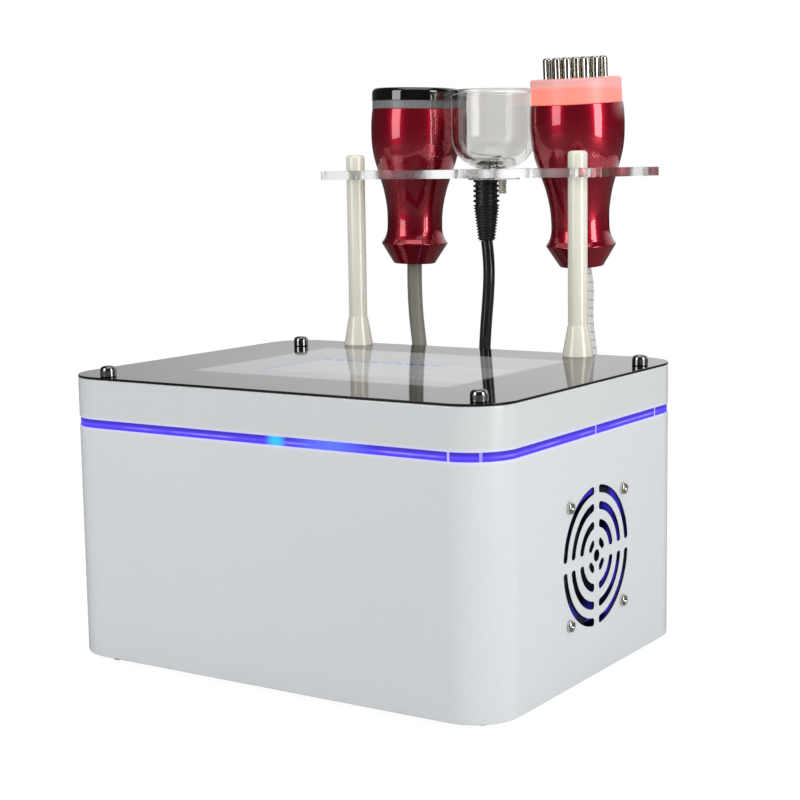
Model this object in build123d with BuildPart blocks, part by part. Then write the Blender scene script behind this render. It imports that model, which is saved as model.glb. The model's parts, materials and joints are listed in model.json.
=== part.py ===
from build123d import *
from math import cos, pi, radians, sin, sqrt, tan
import os

# Vacuum cupping machine: a desk-top case with a fan, a touch screen and a clear holder
# for three handsets. Millimetres, +X along the front, +Y to the back, +Z up, with the
# origin on the table under the middle of the case.

# Case
case_length = 320.0
case_depth = 253.0
case_corner_radius = 29.5
wall = 3.0
lower_height = 149.5
strip_height = 5.5
cover_height = 25.5
sheet_thickness = 1.5
edge_round = 0.8
overrun = 4.0
seam_gap = 0.3

# Feet
foot_height = 5.0
foot_radius = 12.0
foot_stem_radius = 3.0
foot_stem_rise = 1.5
foot_inset_x = 60.0
foot_inset_y = 36.5

# Light band
guide_recess = 0.6
guide_joint = 0.4
led_strip_thickness = 0.7
led_strip_gap = 0.1
led_strip_height = 4.6

# Screen
screen_length = 200.0
screen_depth = 155.0
screen_shift_y = 7.5
screen_glass = 2.2
panel_inset = 2.0
panel_height = 9.0
panel_tab_length = 14.0
panel_tab_width = 10.0
panel_tab_thickness = 1.5
panel_tab_share = 0.35

# Cap screws and the pillars that they clamp
cap_place_shares = ((-0.775, -0.94), (-0.775, 0.683), (0.94, 0.64), (0.9, -0.885))
cap_radius = 5.2
cap_height = 7.0
cap_dome = 2.4
cap_shank_radius = 2.0
cap_shank_reach = 10.0
pillar_radius = 3.5
screw_fit = 0.05
clearance_hole = 0.2
pillar_screw_head_radius = 3.6
pillar_screw_head = 2.2
pillar_screw_reach = 10.0

# Cooling fan and its grille
fan_size = 80.0
fan_thickness = 25.0
fan_pitch = 71.5
fan_corner = 4.0
fan_bore_radius = 38.0
fan_height = 79.5
fan_hub_radius = 18.0
fan_hub_depth = 17.0
fan_cup_wall = 2.0
fan_tip_radius = 36.5
fan_blades = 7
fan_blade_thickness = 1.6
fan_blade_chord = 18.0
fan_blade_angle = 38.0
fan_strut_angles = (45.0, 135.0)
fan_spindle_radius = 1.5
fan_spindle_fit = 0.05
fan_strut_width = 5.0
fan_strut_thickness = 3.0
fan_boss_radius = 17.0
grille_radii = (41.0, 30.7, 19.9, 9.2)
grille_slot_width = 5.0
grille_bridge = 6.2
grille_centre_radius = 3.8
grille_round_share = 0.4
grille_wall = 1.2
grille_pocket_margin = 1.3
fan_screw_head_radius = 3.7
fan_screw_head = 2.6
fan_screw_radius = 2.0
fan_screw_reach = 9.0
cross_width = 0.9
cross_depth = 1.3
cross_share = 0.62

# Rear panel and what is fitted to it
panel_length = 240.0
panel_bottom = 13.0
panel_top = 108.0
panel_thickness = 2.0
panel_overlap = 9.0
panel_screw_radius = 1.5
panel_screw_head_radius = 2.8
panel_screw_head = 1.9
panel_screw_reach = 3.5
panel_screw_inset = 4.5

socket_height = 26.0
socket_places = (-92.0, 52.0, 94.0)
socket_flange_radius = 10.5
socket_flange = 2.5
socket_radius = 8.0
socket_depth = 18.0
socket_bore_radius = 6.2
plug_fit = 0.1
plug_radius = 8.8
plug_body = 14.0
plug_relief = 11.5
plug_nose = 12.0
plug_relief_wall = 1.2

inlet_x = -37.0
inlet_height = 70.0
inlet_length = 48.0
inlet_tall = 62.0
inlet_flange = 3.0
inlet_depth = 26.0
inlet_rim = 2.5
plug_cavity_length = 27.0
plug_cavity_tall = 19.0
plug_cavity_depth = 18.0
plug_cavity_drop = 17.5
plug_cavity_corner = 4.0
pin_length = 12.0
pin_width = 4.0
pin_thickness = 2.0
pin_spread = 7.0
pin_rise = 3.0
drawer_length = 28.0
drawer_tall = 7.0
drawer_depth = 20.0
drawer_lip = 1.4
drawer_lip_rim = 1.0
drawer_fit = 0.3
rocker_length = 20.0
rocker_radius = 8.6
rocker_fit = 0.4
rocker_rise = 18.0
rocker_sink = 5.6
rocker_face = 6.3
rocker_tilt = 10.0
trunnion_radius = 1.5
trunnion_length = 2.0
trunnion_fit = 0.05

# Vacuum pump, valve and hoses
pump_x_share = 0.4
pump_y = -74.0
motor_radius = 17.0
motor_length = 50.0
motor_neck = 6.0
head_length = 34.0
head_width = 42.0
head_tall = 46.0
pump_plate = 2.5
pump_plate_margin = 9.0
mount_radius = 6.0
mount_height = 9.0
cradle_width = 8.0
port_length = 8.0
port_spread = 10.0
valve_x_share = 0.3875
valve_y = 20.0
valve_length = 30.0
valve_width = 20.0
valve_tall = 24.0
valve_coil_radius = 9.0
valve_coil_length = 20.0
hose_radius = 3.4
hose_bore_radius = 2.0
hose_fit = 0.1

# Power supply and control board
supply_x_share = -0.375
supply_y = -38.0
supply_length = 130.0
supply_width = 98.0
supply_tall = 40.0
supply_wall = 1.5
supply_vent_width = 3.0
supply_vent_length = 30.0
supply_vent_pitch = 9.0
supply_vents = 10
board_pillar_gap = 12.0
board_y = 62.0
board_length = 108.0
board_width = 66.0
board_thickness = 1.6
board_chip = 12.0
board_chip_tall = 2.5
board_tall_part = 14.0
standoff_radius = 3.0
standoff_height = 12.0
standoff_inset = 6.0
standoff_screw_radius = 1.5

# Holder posts and plate
post_spread = 90.0
post_y = 111.5
post_radius = 6.6
post_foot_height = 20.5
post_foot_radius = 10.5
post_foot_rim = 0.8
post_foot_ledge = 0.4
stud_radius = 3.0
stud_nut_reach = 7.0
stud_cap_reach = 8.0
nut_height = 5.0
nut_flats = 10.0
post_cap_height = 11.6
post_cap_dome = 2.6
holder_height = 307.3
holder_thickness = 6.0
holder_length = 229.0
holder_front = 97.0
holder_rear = 193.0
holder_corner = 8.0
left_seat_x = -66.8
right_seat_x = 67.5
handset_y = 156.0
seat_gap = 0.4
cup_hole_radius = 19.0
cord_slot_width = 14.0

# Handset barrels: radius against height over the holder's top face
barrel_rim = 44.5
barrel_waist = -40.0
barrel_flare = -53.5
barrel_tail = -68.5
barrel_top_radius = 32.0
barrel_belly_radius = 32.8
barrel_belly = 30.0
barrel_shoulder_radius = 31.2
barrel_shoulder = 12.0
barrel_seat_radius = 27.9
barrel_taper_radius = 23.2
barrel_taper = -15.0
barrel_waist_radius = 20.3
barrel_flare_radius = 24.6
barrel_tail_radius = 15.2
barrel_wall = 2.5
barrel_lip = 2.0
barrel_floor = 20.0
head_bore_radius = 24.0
head_fit = 0.2
ring_height = 5.8
ring_radius = 32.0
cap_head_radius = 32.3
cap_head_height = 9.2
cap_head_round = 3.2
cap_head_wall = 3.0
core_flange = 4.5
core_radius = 15.0
core_drop = 34.0
light_ring_height = 17.2
light_ring_radius = 31.4
light_ring_round = 1.6
pin_plate_thickness = 4.0
steel_pin_radius = 2.8
steel_pin_height = 14.3
steel_pin_round = 1.8
steel_pin_pitch = 7.4
steel_pin_circle = 20.0
led_disc = 2.0
led_radius = 1.6
led_height = 1.8
led_circle = 17.0
leds = 10
left_lean = 1.5
right_lean = 4.0

# Suction cup
cup_radius = 30.4
cup_height = 56.0
cup_wall = 4.5
cup_floor = 5.0
cup_bottom_round = 24.0
cup_rim_radius = 32.2
cup_rim_height = 2.6
cup_port_radius = 4.0
stem_drop = 7.5
stem_fit = 0.5
boot_x = -6.5
boot_radius = 9.4
boot_coarse_length = 18.0
boot_length = 43.5
boot_end_radius = 6.3
boot_coarse_ribs = 5
boot_fine_ribs = 12
boot_coarse_groove = 1.5
boot_fine_groove = 0.9
boot_root = 3.0
nipple_x = 6.8
nipple_radius = 3.0
nipple_length = 10.0
nipple_bore_radius = 1.4
nipple_barbs = 3
nipple_barb = 0.5

# Cords: diameters, coils and the routes of the free stretches
left_cord_diameter = 11.0
cup_cord_diameter = 8.5
right_cord_diameter = 12.5
coil_gap = 0.6
coil_lift = 0.5
left_coil_centre = (-158.0, 225.3)
left_coil_radius = 61.3
left_coil_quarters = 11
right_coil_centre = (10.0, 245.0)
right_coil_radius = 62.5
right_coil_quarters = 11
cup_coil_radius = 45.8
cup_coil_quarters = 14
cup_coil_seat = 0.3

left_drop_route = [
    (-68.813, 156, 244.822), (-69.619, 156, 214.034), (-65.6, 156.5, 176), (-64.2, 157.5, 134),
    (-65.2, 157.2, 95), (-66.8, 156.6, 60), (-67.6, 156.8, 36.5), (-73.6, 157.5, 22.3), (-84.6, 158, 11.4),
    (-99, 157.3, 5.5), (-123.5, 156.025, 5.5), (-147, 156.025, 5.5),
]
left_return_route = [
    (-88.725, 214.3, 17), (-88.725, 200, 17), (-89.8, 185, 20.8), (-92, 170.5, 26), (-92, 156.5, 26),
]
cup_drop_route = [
    (-6.5, 156, 262.3), (-6.5, 156, 228), (-8.6, 157, 192), (-11.5, 159.5, 156), (-15, 162.5, 124),
    (-20, 168.5, 92), (-30, 178, 62), (-37.5, 190, 44), (-42.2, 204.5, 34.5), (-43.762, 220.5, 30.05),
    (-43.762, 236.5, 30.05),
]
cup_return_route = [
    (63.762, 236.5, 39.05), (63.762, 220.2, 39.05), (61.2, 204, 37.2), (55.8, 188.5, 32.8), (52, 173, 26),
    (52, 156.5, 26),
]
right_drop_route = [
    (67.5, 161.363, 244.966), (67.5, 163.7, 211.549), (69, 165.5, 174), (71.7, 167.5, 138), (74.6, 169.5, 106),
    (76.2, 171.5, 76), (76, 173.4, 42.3), (69.2, 173.9, 25.8), (56.5, 174, 13.1), (40, 173.494, 6.25),
    (22.5, 173.494, 6.25),
]
right_return_route = [
    (81.506, 232.5, 19.25), (81.506, 217, 19.25), (85, 201, 21), (90.5, 187, 23.8), (94, 171.8, 26),
    (94, 156.5, 26),
]

# Levels and places that follow
case_base = foot_height
strip_base = case_base + lower_height
strip_top = strip_base + strip_height
deck_top = strip_top + cover_height
deck_under = deck_top - wall
top_face = deck_top + sheet_thickness
floor_top = case_base + wall
inner_right = case_length / 2 - wall
rear_face = case_depth / 2
panel_face = rear_face + panel_thickness
holder_top = holder_height + holder_thickness
cap_places = [(x * case_length / 2, y * case_depth / 2) for x, y in cap_place_shares]
pump_x = pump_x_share * case_length / 2
valve_x = valve_x_share * case_length / 2
supply_x = supply_x_share * case_length / 2
board_x = cap_places[0][0] + board_pillar_gap + board_length / 2
post_places = [(-post_spread, post_y), (post_spread, post_y)]
rocker_pivot = (panel_face + inlet_flange - rocker_sink, inlet_height + rocker_rise)
fan_holes = [(y * fan_pitch / 2, fan_height + z * fan_pitch / 2) for y in (-1, 1) for z in (-1, 1)]
seat_radius = barrel_seat_radius + seat_gap
tilt_shift = (barrel_shoulder_radius - barrel_taper_radius) / (barrel_shoulder - barrel_taper)
left_shift = tilt_shift * seat_radius * sin(radians(left_lean))
right_shift = tilt_shift * seat_radius * sin(radians(right_lean))
pin_rows = int(steel_pin_circle // steel_pin_pitch) + 1

outward = Plane.YZ
rearward = Plane(origin=(0, 0, 0), x_dir=(-1, 0, 0), z_dir=(0, 1, 0))


def save(part, name):
    """Labels a finished piece and writes its STEP file."""
    part.label = name
    export_step(part, f"parts/{name}.step")
    return part


def rear_plane(y):
    """A plane that faces backwards at the depth y, with its own X to the machine's left."""
    return rearward.offset(y)


# Case, feet and light band


def make_lower_shell():
    with BuildPart() as lower_shell:
        with BuildSketch(Plane.XY.offset(case_base)):
            RectangleRounded(case_length, case_depth, case_corner_radius)
        extrude(amount=lower_height)
        with BuildSketch(Plane.XY.offset(floor_top)):
            RectangleRounded(case_length - 2 * wall, case_depth - 2 * wall, case_corner_radius - wall)
        extrude(amount=lower_height, mode=Mode.SUBTRACT)
        fillet(lower_shell.faces().sort_by(Axis.Z)[0].edges(), edge_round)
        for radius in grille_radii:
            width = min(grille_slot_width, radius / 2)
            with BuildSketch(outward.offset(inner_right - overrun)) as slots:
                with Locations((0, fan_height)):
                    Circle(radius + width / 2)
                    Circle(radius - width / 2, mode=Mode.SUBTRACT)
                    Rectangle(grille_bridge, 3 * radius, mode=Mode.SUBTRACT)
                    Rectangle(3 * radius, grille_bridge, mode=Mode.SUBTRACT)
                fillet(slots.vertices(), grille_round_share * width)
            extrude(amount=wall + 2 * overrun, mode=Mode.SUBTRACT)
        with BuildSketch(outward.offset(inner_right)):
            with Locations((0, fan_height)):
                Circle(grille_radii[0] + grille_slot_width / 2 + grille_pocket_margin)
        extrude(amount=wall - grille_wall, mode=Mode.SUBTRACT)
        with BuildSketch(outward.offset(inner_right - overrun)):
            with Locations((0, fan_height)):
                Circle(grille_centre_radius)
            with Locations(*fan_holes):
                Circle(fan_screw_radius + clearance_hole)
        extrude(amount=wall + 2 * overrun, mode=Mode.SUBTRACT)
        opening_bottom = panel_bottom + panel_overlap
        with BuildSketch(rear_plane(rear_face - wall - overrun)):
            with Locations((0, (opening_bottom + panel_top - panel_overlap) / 2)):
                Rectangle(panel_length - 2 * panel_overlap, panel_top - panel_bottom - 2 * panel_overlap)
            with Locations(*panel_screw_places()):
                Circle(panel_screw_radius + screw_fit)
            with Locations(*[(-x, socket_height) for x in socket_places]):
                Circle(socket_radius + clearance_hole)
        extrude(amount=wall + 2 * overrun, mode=Mode.SUBTRACT)
        with BuildSketch(Plane.XY.offset(case_base - overrun)):
            with Locations(*cap_places):
                Circle(cap_shank_radius + clearance_hole)
            with Locations(*foot_places()):
                Circle(foot_stem_radius + clearance_hole)
        extrude(amount=wall + 2 * overrun, mode=Mode.SUBTRACT)
    return lower_shell.part


def foot_places():
    x = case_length / 2 - foot_inset_x
    y = case_depth / 2 - foot_inset_y
    return [(-x, -y), (x, -y), (-x, y), (x, y)]


def panel_screw_places():
    """Six screws round the rear panel, on a plane that faces backwards."""
    side = panel_length / 2 - panel_screw_inset
    low = panel_bottom + panel_screw_inset
    high = panel_top - panel_screw_inset
    return [(x, z) for x in (-side, 0, side) for z in (low, high)]


def make_upper_cover():
    with BuildPart() as upper_cover:
        with BuildSketch(Plane.XY.offset(strip_top)):
            RectangleRounded(case_length, case_depth, case_corner_radius)
        extrude(amount=cover_height)
        fillet(upper_cover.faces().sort_by(Axis.Z)[-1].edges(), edge_round)
        with BuildSketch(Plane.XY.offset(strip_top)):
            RectangleRounded(case_length - 2 * wall, case_depth - 2 * wall, case_corner_radius - wall)
        extrude(amount=cover_height - wall, mode=Mode.SUBTRACT)
        with BuildSketch(Plane.XY.offset(deck_under - overrun)):
            with Locations((0, screen_shift_y)):
                Rectangle(screen_length + 2 * seam_gap, screen_depth + 2 * seam_gap)
            with Locations(*cap_places):
                Circle(cap_shank_radius + clearance_hole)
            with Locations(*post_places):
                Circle(stud_radius + clearance_hole)
        extrude(amount=wall + 2 * overrun, mode=Mode.SUBTRACT)
    return upper_cover.part


def make_top_sheet():
    with BuildPart() as top_sheet:
        with BuildSketch(Plane.XY.offset(deck_top)):
            RectangleRounded(case_length, case_depth, case_corner_radius)
            with Locations(*cap_places):
                Circle(cap_shank_radius + clearance_hole, mode=Mode.SUBTRACT)
            with Locations(*post_places):
                Circle(stud_radius + clearance_hole, mode=Mode.SUBTRACT)
        extrude(amount=sheet_thickness)
    return top_sheet.part


def make_light_guide():
    """Four corner bars of clear plastic, with joints at the middle of each side."""
    length = case_length - 2 * guide_recess
    depth = case_depth - 2 * guide_recess
    with BuildPart() as light_guide:
        with BuildSketch(Plane.XY.offset(strip_base)):
            RectangleRounded(length, depth, case_corner_radius - guide_recess)
            offset(amount=guide_recess - wall, kind=Kind.INTERSECTION, mode=Mode.SUBTRACT)
            Rectangle(guide_joint, case_depth, mode=Mode.SUBTRACT)
            Rectangle(case_length, guide_joint, mode=Mode.SUBTRACT)
        extrude(amount=strip_height)
    return light_guide.part


def make_led_strip():
    with BuildPart() as led_strip:
        with BuildSketch(Plane.XY.offset(strip_base + (strip_height - led_strip_height) / 2)):
            inset = wall + led_strip_gap
            RectangleRounded(case_length - 2 * inset, case_depth - 2 * inset, case_corner_radius - inset)
            offset(amount=-led_strip_thickness, kind=Kind.INTERSECTION, mode=Mode.SUBTRACT)
        extrude(amount=led_strip_height)
    return led_strip.part


def make_rubber_feet():
    with BuildPart() as rubber_feet:
        with BuildSketch():
            with Locations(*foot_places()):
                Circle(foot_radius)
        extrude(amount=foot_height)
        fillet(rubber_feet.edges().group_by(Axis.Z)[0], edge_round)
        with BuildSketch(Plane.XY.offset(foot_height)):
            with Locations(*foot_places()):
                Circle(foot_stem_radius)
        extrude(amount=wall + foot_stem_rise)
    return rubber_feet.part


# Screen


def make_touch_screen():
    with BuildPart() as touch_screen:
        with BuildSketch(Plane.XY.offset(deck_top - screen_glass)):
            with Locations((0, screen_shift_y)):
                Rectangle(screen_length, screen_depth)
        extrude(amount=screen_glass)
    return touch_screen.part


def make_display_panel():
    length = screen_length - 2 * panel_inset
    depth = screen_depth - 2 * panel_inset
    tab_reach = length / 2 + panel_tab_length
    with BuildPart() as display_panel:
        with BuildSketch(Plane.XY.offset(deck_top - screen_glass - panel_height)):
            with Locations((0, screen_shift_y)):
                Rectangle(length, depth)
        extrude(amount=panel_height)
        with BuildSketch(Plane.XY.offset(deck_under - panel_tab_thickness)):
            with Locations((0, screen_shift_y)):
                with GridLocations(0, 2 * panel_tab_share * depth, 1, 2):
                    Rectangle(2 * tab_reach, panel_tab_width)
                Rectangle(length, depth, mode=Mode.SUBTRACT)
        extrude(amount=panel_tab_thickness)
    return display_panel.part


# Cap screws, pillars and their lower screws


def make_cap_screws():
    with BuildPart() as cap_screws:
        with BuildSketch(Plane.XY.offset(top_face)):
            with Locations(*cap_places):
                Circle(cap_radius)
        extrude(amount=cap_height)
        fillet(cap_screws.edges().group_by(Axis.Z)[-1], cap_dome)
        with BuildSketch(Plane.XY.offset(top_face)):
            with Locations(*cap_places):
                Circle(cap_shank_radius)
        extrude(amount=-(sheet_thickness + wall + cap_shank_reach))
    return cap_screws.part


def make_pillars():
    with BuildPart() as pillars:
        with BuildSketch(Plane.XY.offset(floor_top)):
            with Locations(*cap_places):
                Circle(pillar_radius)
        extrude(amount=deck_under - floor_top)
        reach = cap_shank_reach + overrun
        with BuildSketch(Plane.XY.offset(deck_under - reach)):
            with Locations(*cap_places):
                Circle(cap_shank_radius + screw_fit)
        extrude(amount=reach, mode=Mode.SUBTRACT)
        with BuildSketch(Plane.XY.offset(floor_top)):
            with Locations(*cap_places):
                Circle(cap_shank_radius + screw_fit)
        extrude(amount=pillar_screw_reach + overrun, mode=Mode.SUBTRACT)
    return pillars.part


def make_pillar_screws():
    with BuildPart() as pillar_screws:
        with BuildSketch(Plane.XY.offset(case_base)):
            with Locations(*cap_places):
                Circle(pillar_screw_head_radius)
        extrude(amount=-pillar_screw_head)
        fillet(pillar_screws.edges().group_by(Axis.Z)[0], pillar_screw_head / 3)
        with BuildSketch(Plane.XY.offset(case_base)):
            with Locations(*cap_places):
                Circle(cap_shank_radius)
        extrude(amount=wall + pillar_screw_reach)
        cut_crosses(Plane.XY.offset(case_base - pillar_screw_head), cap_places, pillar_screw_head_radius, 1)
    return pillar_screws.part


def cut_crosses(plane, places, head_radius, inwards):
    """Cuts the cross recess of pan-head screws whose heads lie on the plane."""
    with BuildSketch(plane) as crosses:
        with Locations(*places):
            Rectangle(2 * cross_share * head_radius, cross_width)
            Rectangle(cross_width, 2 * cross_share * head_radius)
    extrude(crosses.sketch, amount=inwards * cross_depth, mode=Mode.SUBTRACT)


# Fan


def make_fan_frame():
    near = inner_right - fan_thickness
    with BuildPart() as fan_frame:
        with BuildSketch(outward.offset(near)):
            with Locations((0, fan_height)):
                RectangleRounded(fan_size, fan_size, fan_corner)
                Circle(fan_bore_radius, mode=Mode.SUBTRACT)
            with Locations(*fan_holes):
                Circle(fan_screw_radius + screw_fit, mode=Mode.SUBTRACT)
        extrude(amount=fan_thickness)
        with BuildSketch(outward.offset(near)):
            with Locations((0, fan_height)):
                Circle(fan_boss_radius)
                with Locations(*[Location((0, 0), turn) for turn in fan_strut_angles]):
                    Rectangle(2 * fan_bore_radius + fan_strut_width / 2, fan_strut_width)
        extrude(amount=fan_strut_thickness)
        with BuildSketch(outward.offset(near)):
            with Locations((0, fan_height)):
                Circle(fan_spindle_radius)
        extrude(amount=fan_strut_thickness + seam_gap + fan_hub_depth - fan_cup_wall)
    return fan_frame.part


def make_fan_rotor():
    """A hub cup with seven pitched blades, built on its own axis and then set on the spindle."""
    middle = (fan_hub_radius + fan_tip_radius) / 2 - fan_blade_thickness
    reach = fan_tip_radius - fan_hub_radius + 4 * fan_blade_thickness
    half_depth = fan_hub_depth / 2
    with BuildPart() as fan_rotor:
        with PolarLocations(middle, fan_blades):
            with Locations(Location((0, 0, half_depth), (fan_blade_angle, 0, 0))):
                Box(reach, fan_blade_chord, fan_blade_thickness)
        with BuildSketch():
            Circle(fan_tip_radius)
        extrude(amount=fan_hub_depth, mode=Mode.INTERSECT)
        with BuildSketch():
            Circle(fan_hub_radius)
        extrude(amount=fan_hub_depth)
        fillet(
            fan_rotor.faces().filter_by(Plane.XY).sort_by(Axis.Z)[-1].edges().sort_by(SortBy.LENGTH)[-1],
            edge_round,
        )
        with BuildSketch():
            Circle(fan_spindle_radius + fan_spindle_fit)
        extrude(amount=fan_hub_depth - fan_cup_wall + fan_spindle_fit, mode=Mode.SUBTRACT)
    near = inner_right - fan_thickness + fan_strut_thickness + seam_gap
    return Plane(origin=(near, 0, fan_height), x_dir=(0, 1, 0), z_dir=(1, 0, 0)) * fan_rotor.part


def make_fan_screws():
    wall_face = case_length / 2
    with BuildPart() as fan_screws:
        with BuildSketch(outward.offset(wall_face)):
            with Locations(*fan_holes):
                Circle(fan_screw_head_radius)
        extrude(amount=fan_screw_head)
        fillet(fan_screws.edges().group_by(Axis.X)[-1], fan_screw_head / 2)
        with BuildSketch(outward.offset(wall_face)):
            with Locations(*fan_holes):
                Circle(fan_screw_radius)
        extrude(amount=-(wall + fan_screw_reach))
        cut_crosses(outward.offset(wall_face + fan_screw_head), fan_holes, fan_screw_head_radius, -1)
    return fan_screws.part


# Rear panel, sockets and mains inlet


def make_rear_panel():
    with BuildPart() as rear_panel:
        with BuildSketch(rear_plane(rear_face)):
            with Locations((0, (panel_bottom + panel_top) / 2)):
                RectangleRounded(panel_length, panel_top - panel_bottom, panel_overlap / 3)
            with Locations(*[(-x, socket_height) for x in socket_places]):
                Circle(socket_radius + clearance_hole, mode=Mode.SUBTRACT)
            with Locations((-inlet_x, inlet_height)):
                length = inlet_length - 2 * inlet_rim + 2 * clearance_hole
                Rectangle(length, inlet_tall - 2 * inlet_rim + 2 * clearance_hole, mode=Mode.SUBTRACT)
            with Locations(*panel_screw_places()):
                Circle(panel_screw_radius + clearance_hole, mode=Mode.SUBTRACT)
        extrude(amount=panel_thickness)
    return rear_panel.part


def make_panel_screws():
    with BuildPart() as panel_screws:
        with BuildSketch(rear_plane(panel_face)):
            with Locations(*panel_screw_places()):
                Circle(panel_screw_head_radius)
        extrude(amount=panel_screw_head)
        fillet(panel_screws.edges().group_by(Axis.Y)[-1], panel_screw_head / 2)
        with BuildSketch(rear_plane(panel_face)):
            with Locations(*panel_screw_places()):
                Circle(panel_screw_radius)
        extrude(amount=-(panel_thickness + panel_screw_reach))
        head_plane = rear_plane(panel_face + panel_screw_head)
        cut_crosses(head_plane, panel_screw_places(), panel_screw_head_radius, -1)
    return panel_screws.part


def make_handset_sockets():
    places = [(-x, socket_height) for x in socket_places]
    with BuildPart() as handset_sockets:
        with BuildSketch(rear_plane(panel_face)):
            with Locations(*places):
                Circle(socket_flange_radius)
        extrude(amount=socket_flange)
        chamfer(handset_sockets.edges().group_by(Axis.Y)[-1], edge_round)
        with BuildSketch(rear_plane(panel_face)):
            with Locations(*places):
                Circle(socket_radius)
        extrude(amount=-socket_depth)
        with BuildSketch(rear_plane(panel_face + socket_flange)):
            with Locations(*places):
                Circle(socket_bore_radius)
        extrude(amount=-(socket_flange + plug_nose), mode=Mode.SUBTRACT)
    return handset_sockets.part


def make_plug(x, cord_diameter):
    """A round plug in its socket: nose, grip with shallow grooves and a short strain relief."""
    face = panel_face + socket_flange
    relief = cord_diameter / 2 + plug_relief_wall
    with BuildPart() as plug:
        with BuildSketch(rear_plane(face)):
            with Locations((-x, socket_height)):
                Circle(plug_radius)
        extrude(amount=plug_body)
        chamfer(plug.edges().group_by(Axis.Y)[-1], plug_radius - relief - seam_gap, edge_round)
        with BuildSketch(rear_plane(face + plug_body)):
            with Locations((-x, socket_height)):
                Circle(relief)
        extrude(amount=plug_relief)
        with BuildSketch(rear_plane(face)):
            with Locations((-x, socket_height)):
                Circle(socket_bore_radius - plug_fit)
        extrude(amount=-(plug_nose - plug_fit))
    return plug.part


def make_mains_inlet():
    """The inlet's flange and body, open for the mains plug, the fuse drawer and the rocker."""
    body_length = inlet_length - 2 * inlet_rim
    body_tall = inlet_tall - 2 * inlet_rim
    face = panel_face + inlet_flange
    cavity_height = inlet_height - plug_cavity_drop
    with BuildPart() as mains_inlet:
        with BuildSketch(rear_plane(panel_face)):
            with Locations((-inlet_x, inlet_height)):
                RectangleRounded(inlet_length, inlet_tall, inlet_rim)
        extrude(amount=inlet_flange)
        with BuildSketch(rear_plane(panel_face)):
            with Locations((-inlet_x, inlet_height)):
                Rectangle(body_length, body_tall)
        extrude(amount=-inlet_depth)
        with BuildSketch(rear_plane(face)) as mouth:
            with Locations((-inlet_x, cavity_height)):
                Rectangle(plug_cavity_length, plug_cavity_tall)
            chamfer(mouth.vertices().group_by(Axis.Y)[-1], plug_cavity_corner)
        extrude(amount=-plug_cavity_depth, mode=Mode.SUBTRACT)
        with BuildSketch(rear_plane(face - plug_cavity_depth)):
            with Locations((-inlet_x, cavity_height + pin_rise)):
                Rectangle(pin_thickness, pin_width)
            with Locations(
                (-inlet_x - pin_spread, cavity_height - pin_rise),
                (-inlet_x + pin_spread, cavity_height - pin_rise),
            ):
                Rectangle(pin_thickness, pin_width)
        extrude(amount=pin_length)
        with BuildSketch(rear_plane(face)):
            with Locations((-inlet_x, inlet_height)):
                Rectangle(drawer_length + 2 * drawer_fit, drawer_tall + 2 * drawer_fit)
        extrude(amount=-(drawer_depth + drawer_fit), mode=Mode.SUBTRACT)
        for radius, half_length in (
            (rocker_radius + rocker_fit, rocker_length / 2 + rocker_fit),
            (trunnion_radius + trunnion_fit, rocker_length / 2 + trunnion_length + trunnion_fit),
        ):
            with BuildSketch(outward.offset(inlet_x - half_length)):
                with Locations(rocker_pivot):
                    Circle(radius)
            extrude(amount=2 * half_length, mode=Mode.SUBTRACT)
    return mains_inlet.part


def make_power_rocker():
    """A rocker whose two flats meet in a shallow valley, with its upper half pressed in."""
    pivot_y, pivot_z = rocker_pivot
    valley_y = pivot_y + rocker_face
    valley_z = pivot_z + rocker_face * tan(radians(rocker_tilt))
    reach = 2 * rocker_radius
    turn = radians(2 * rocker_tilt)
    half_length = rocker_length / 2
    with BuildPart() as power_rocker:
        with BuildSketch(outward.offset(inlet_x - half_length)):
            with Locations(rocker_pivot):
                Circle(rocker_radius)
            Polygon(
                (valley_y, valley_z),
                (valley_y, valley_z + reach),
                (valley_y + reach, valley_z + reach),
                (valley_y + reach, valley_z - reach),
                (valley_y + reach * sin(turn), valley_z - reach * cos(turn)),
                align=None,
                mode=Mode.SUBTRACT,
            )
        extrude(amount=rocker_length)
        with BuildSketch(outward.offset(inlet_x - half_length - trunnion_length)):
            with Locations(rocker_pivot):
                Circle(trunnion_radius)
        extrude(amount=rocker_length + 2 * trunnion_length)
    return power_rocker.part


def make_fuse_drawer():
    face = panel_face + inlet_flange
    place = (-inlet_x, inlet_height)
    with BuildPart() as fuse_drawer:
        with BuildSketch(rear_plane(face)):
            with Locations(place):
                Rectangle(drawer_length, drawer_tall)
        extrude(amount=-drawer_depth)
        with BuildSketch(rear_plane(face)):
            with Locations(place):
                Rectangle(drawer_length + 2 * drawer_lip_rim, drawer_tall + 2 * drawer_lip_rim)
        extrude(amount=drawer_lip)
    return fuse_drawer.part


# Vacuum pump, valve, hoses, power supply and control board

plate_base = floor_top + mount_height
axis_height = plate_base + pump_plate + head_tall / 2
head_left = pump_x - head_length
port_height = axis_height + head_tall / 2
port_places = [(pump_x - head_length / 2, pump_y + side * port_spread) for side in (-1, 1)]


def pump_mount_places():
    reach = (head_length + motor_neck + motor_length) / 2
    middle = (pump_x - head_length + pump_x + motor_neck + motor_length) / 2
    x = reach - mount_radius
    y = head_width / 2 + pump_plate_margin - mount_radius
    return [(middle + sx * x, pump_y + sy * y) for sx in (-1, 1) for sy in (-1, 1)]


def make_pump_mounts():
    with BuildPart() as pump_mounts:
        with BuildSketch(Plane.XY.offset(floor_top)):
            with Locations(*pump_mount_places()):
                Circle(mount_radius)
        extrude(amount=mount_height)
    return pump_mounts.part


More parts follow.
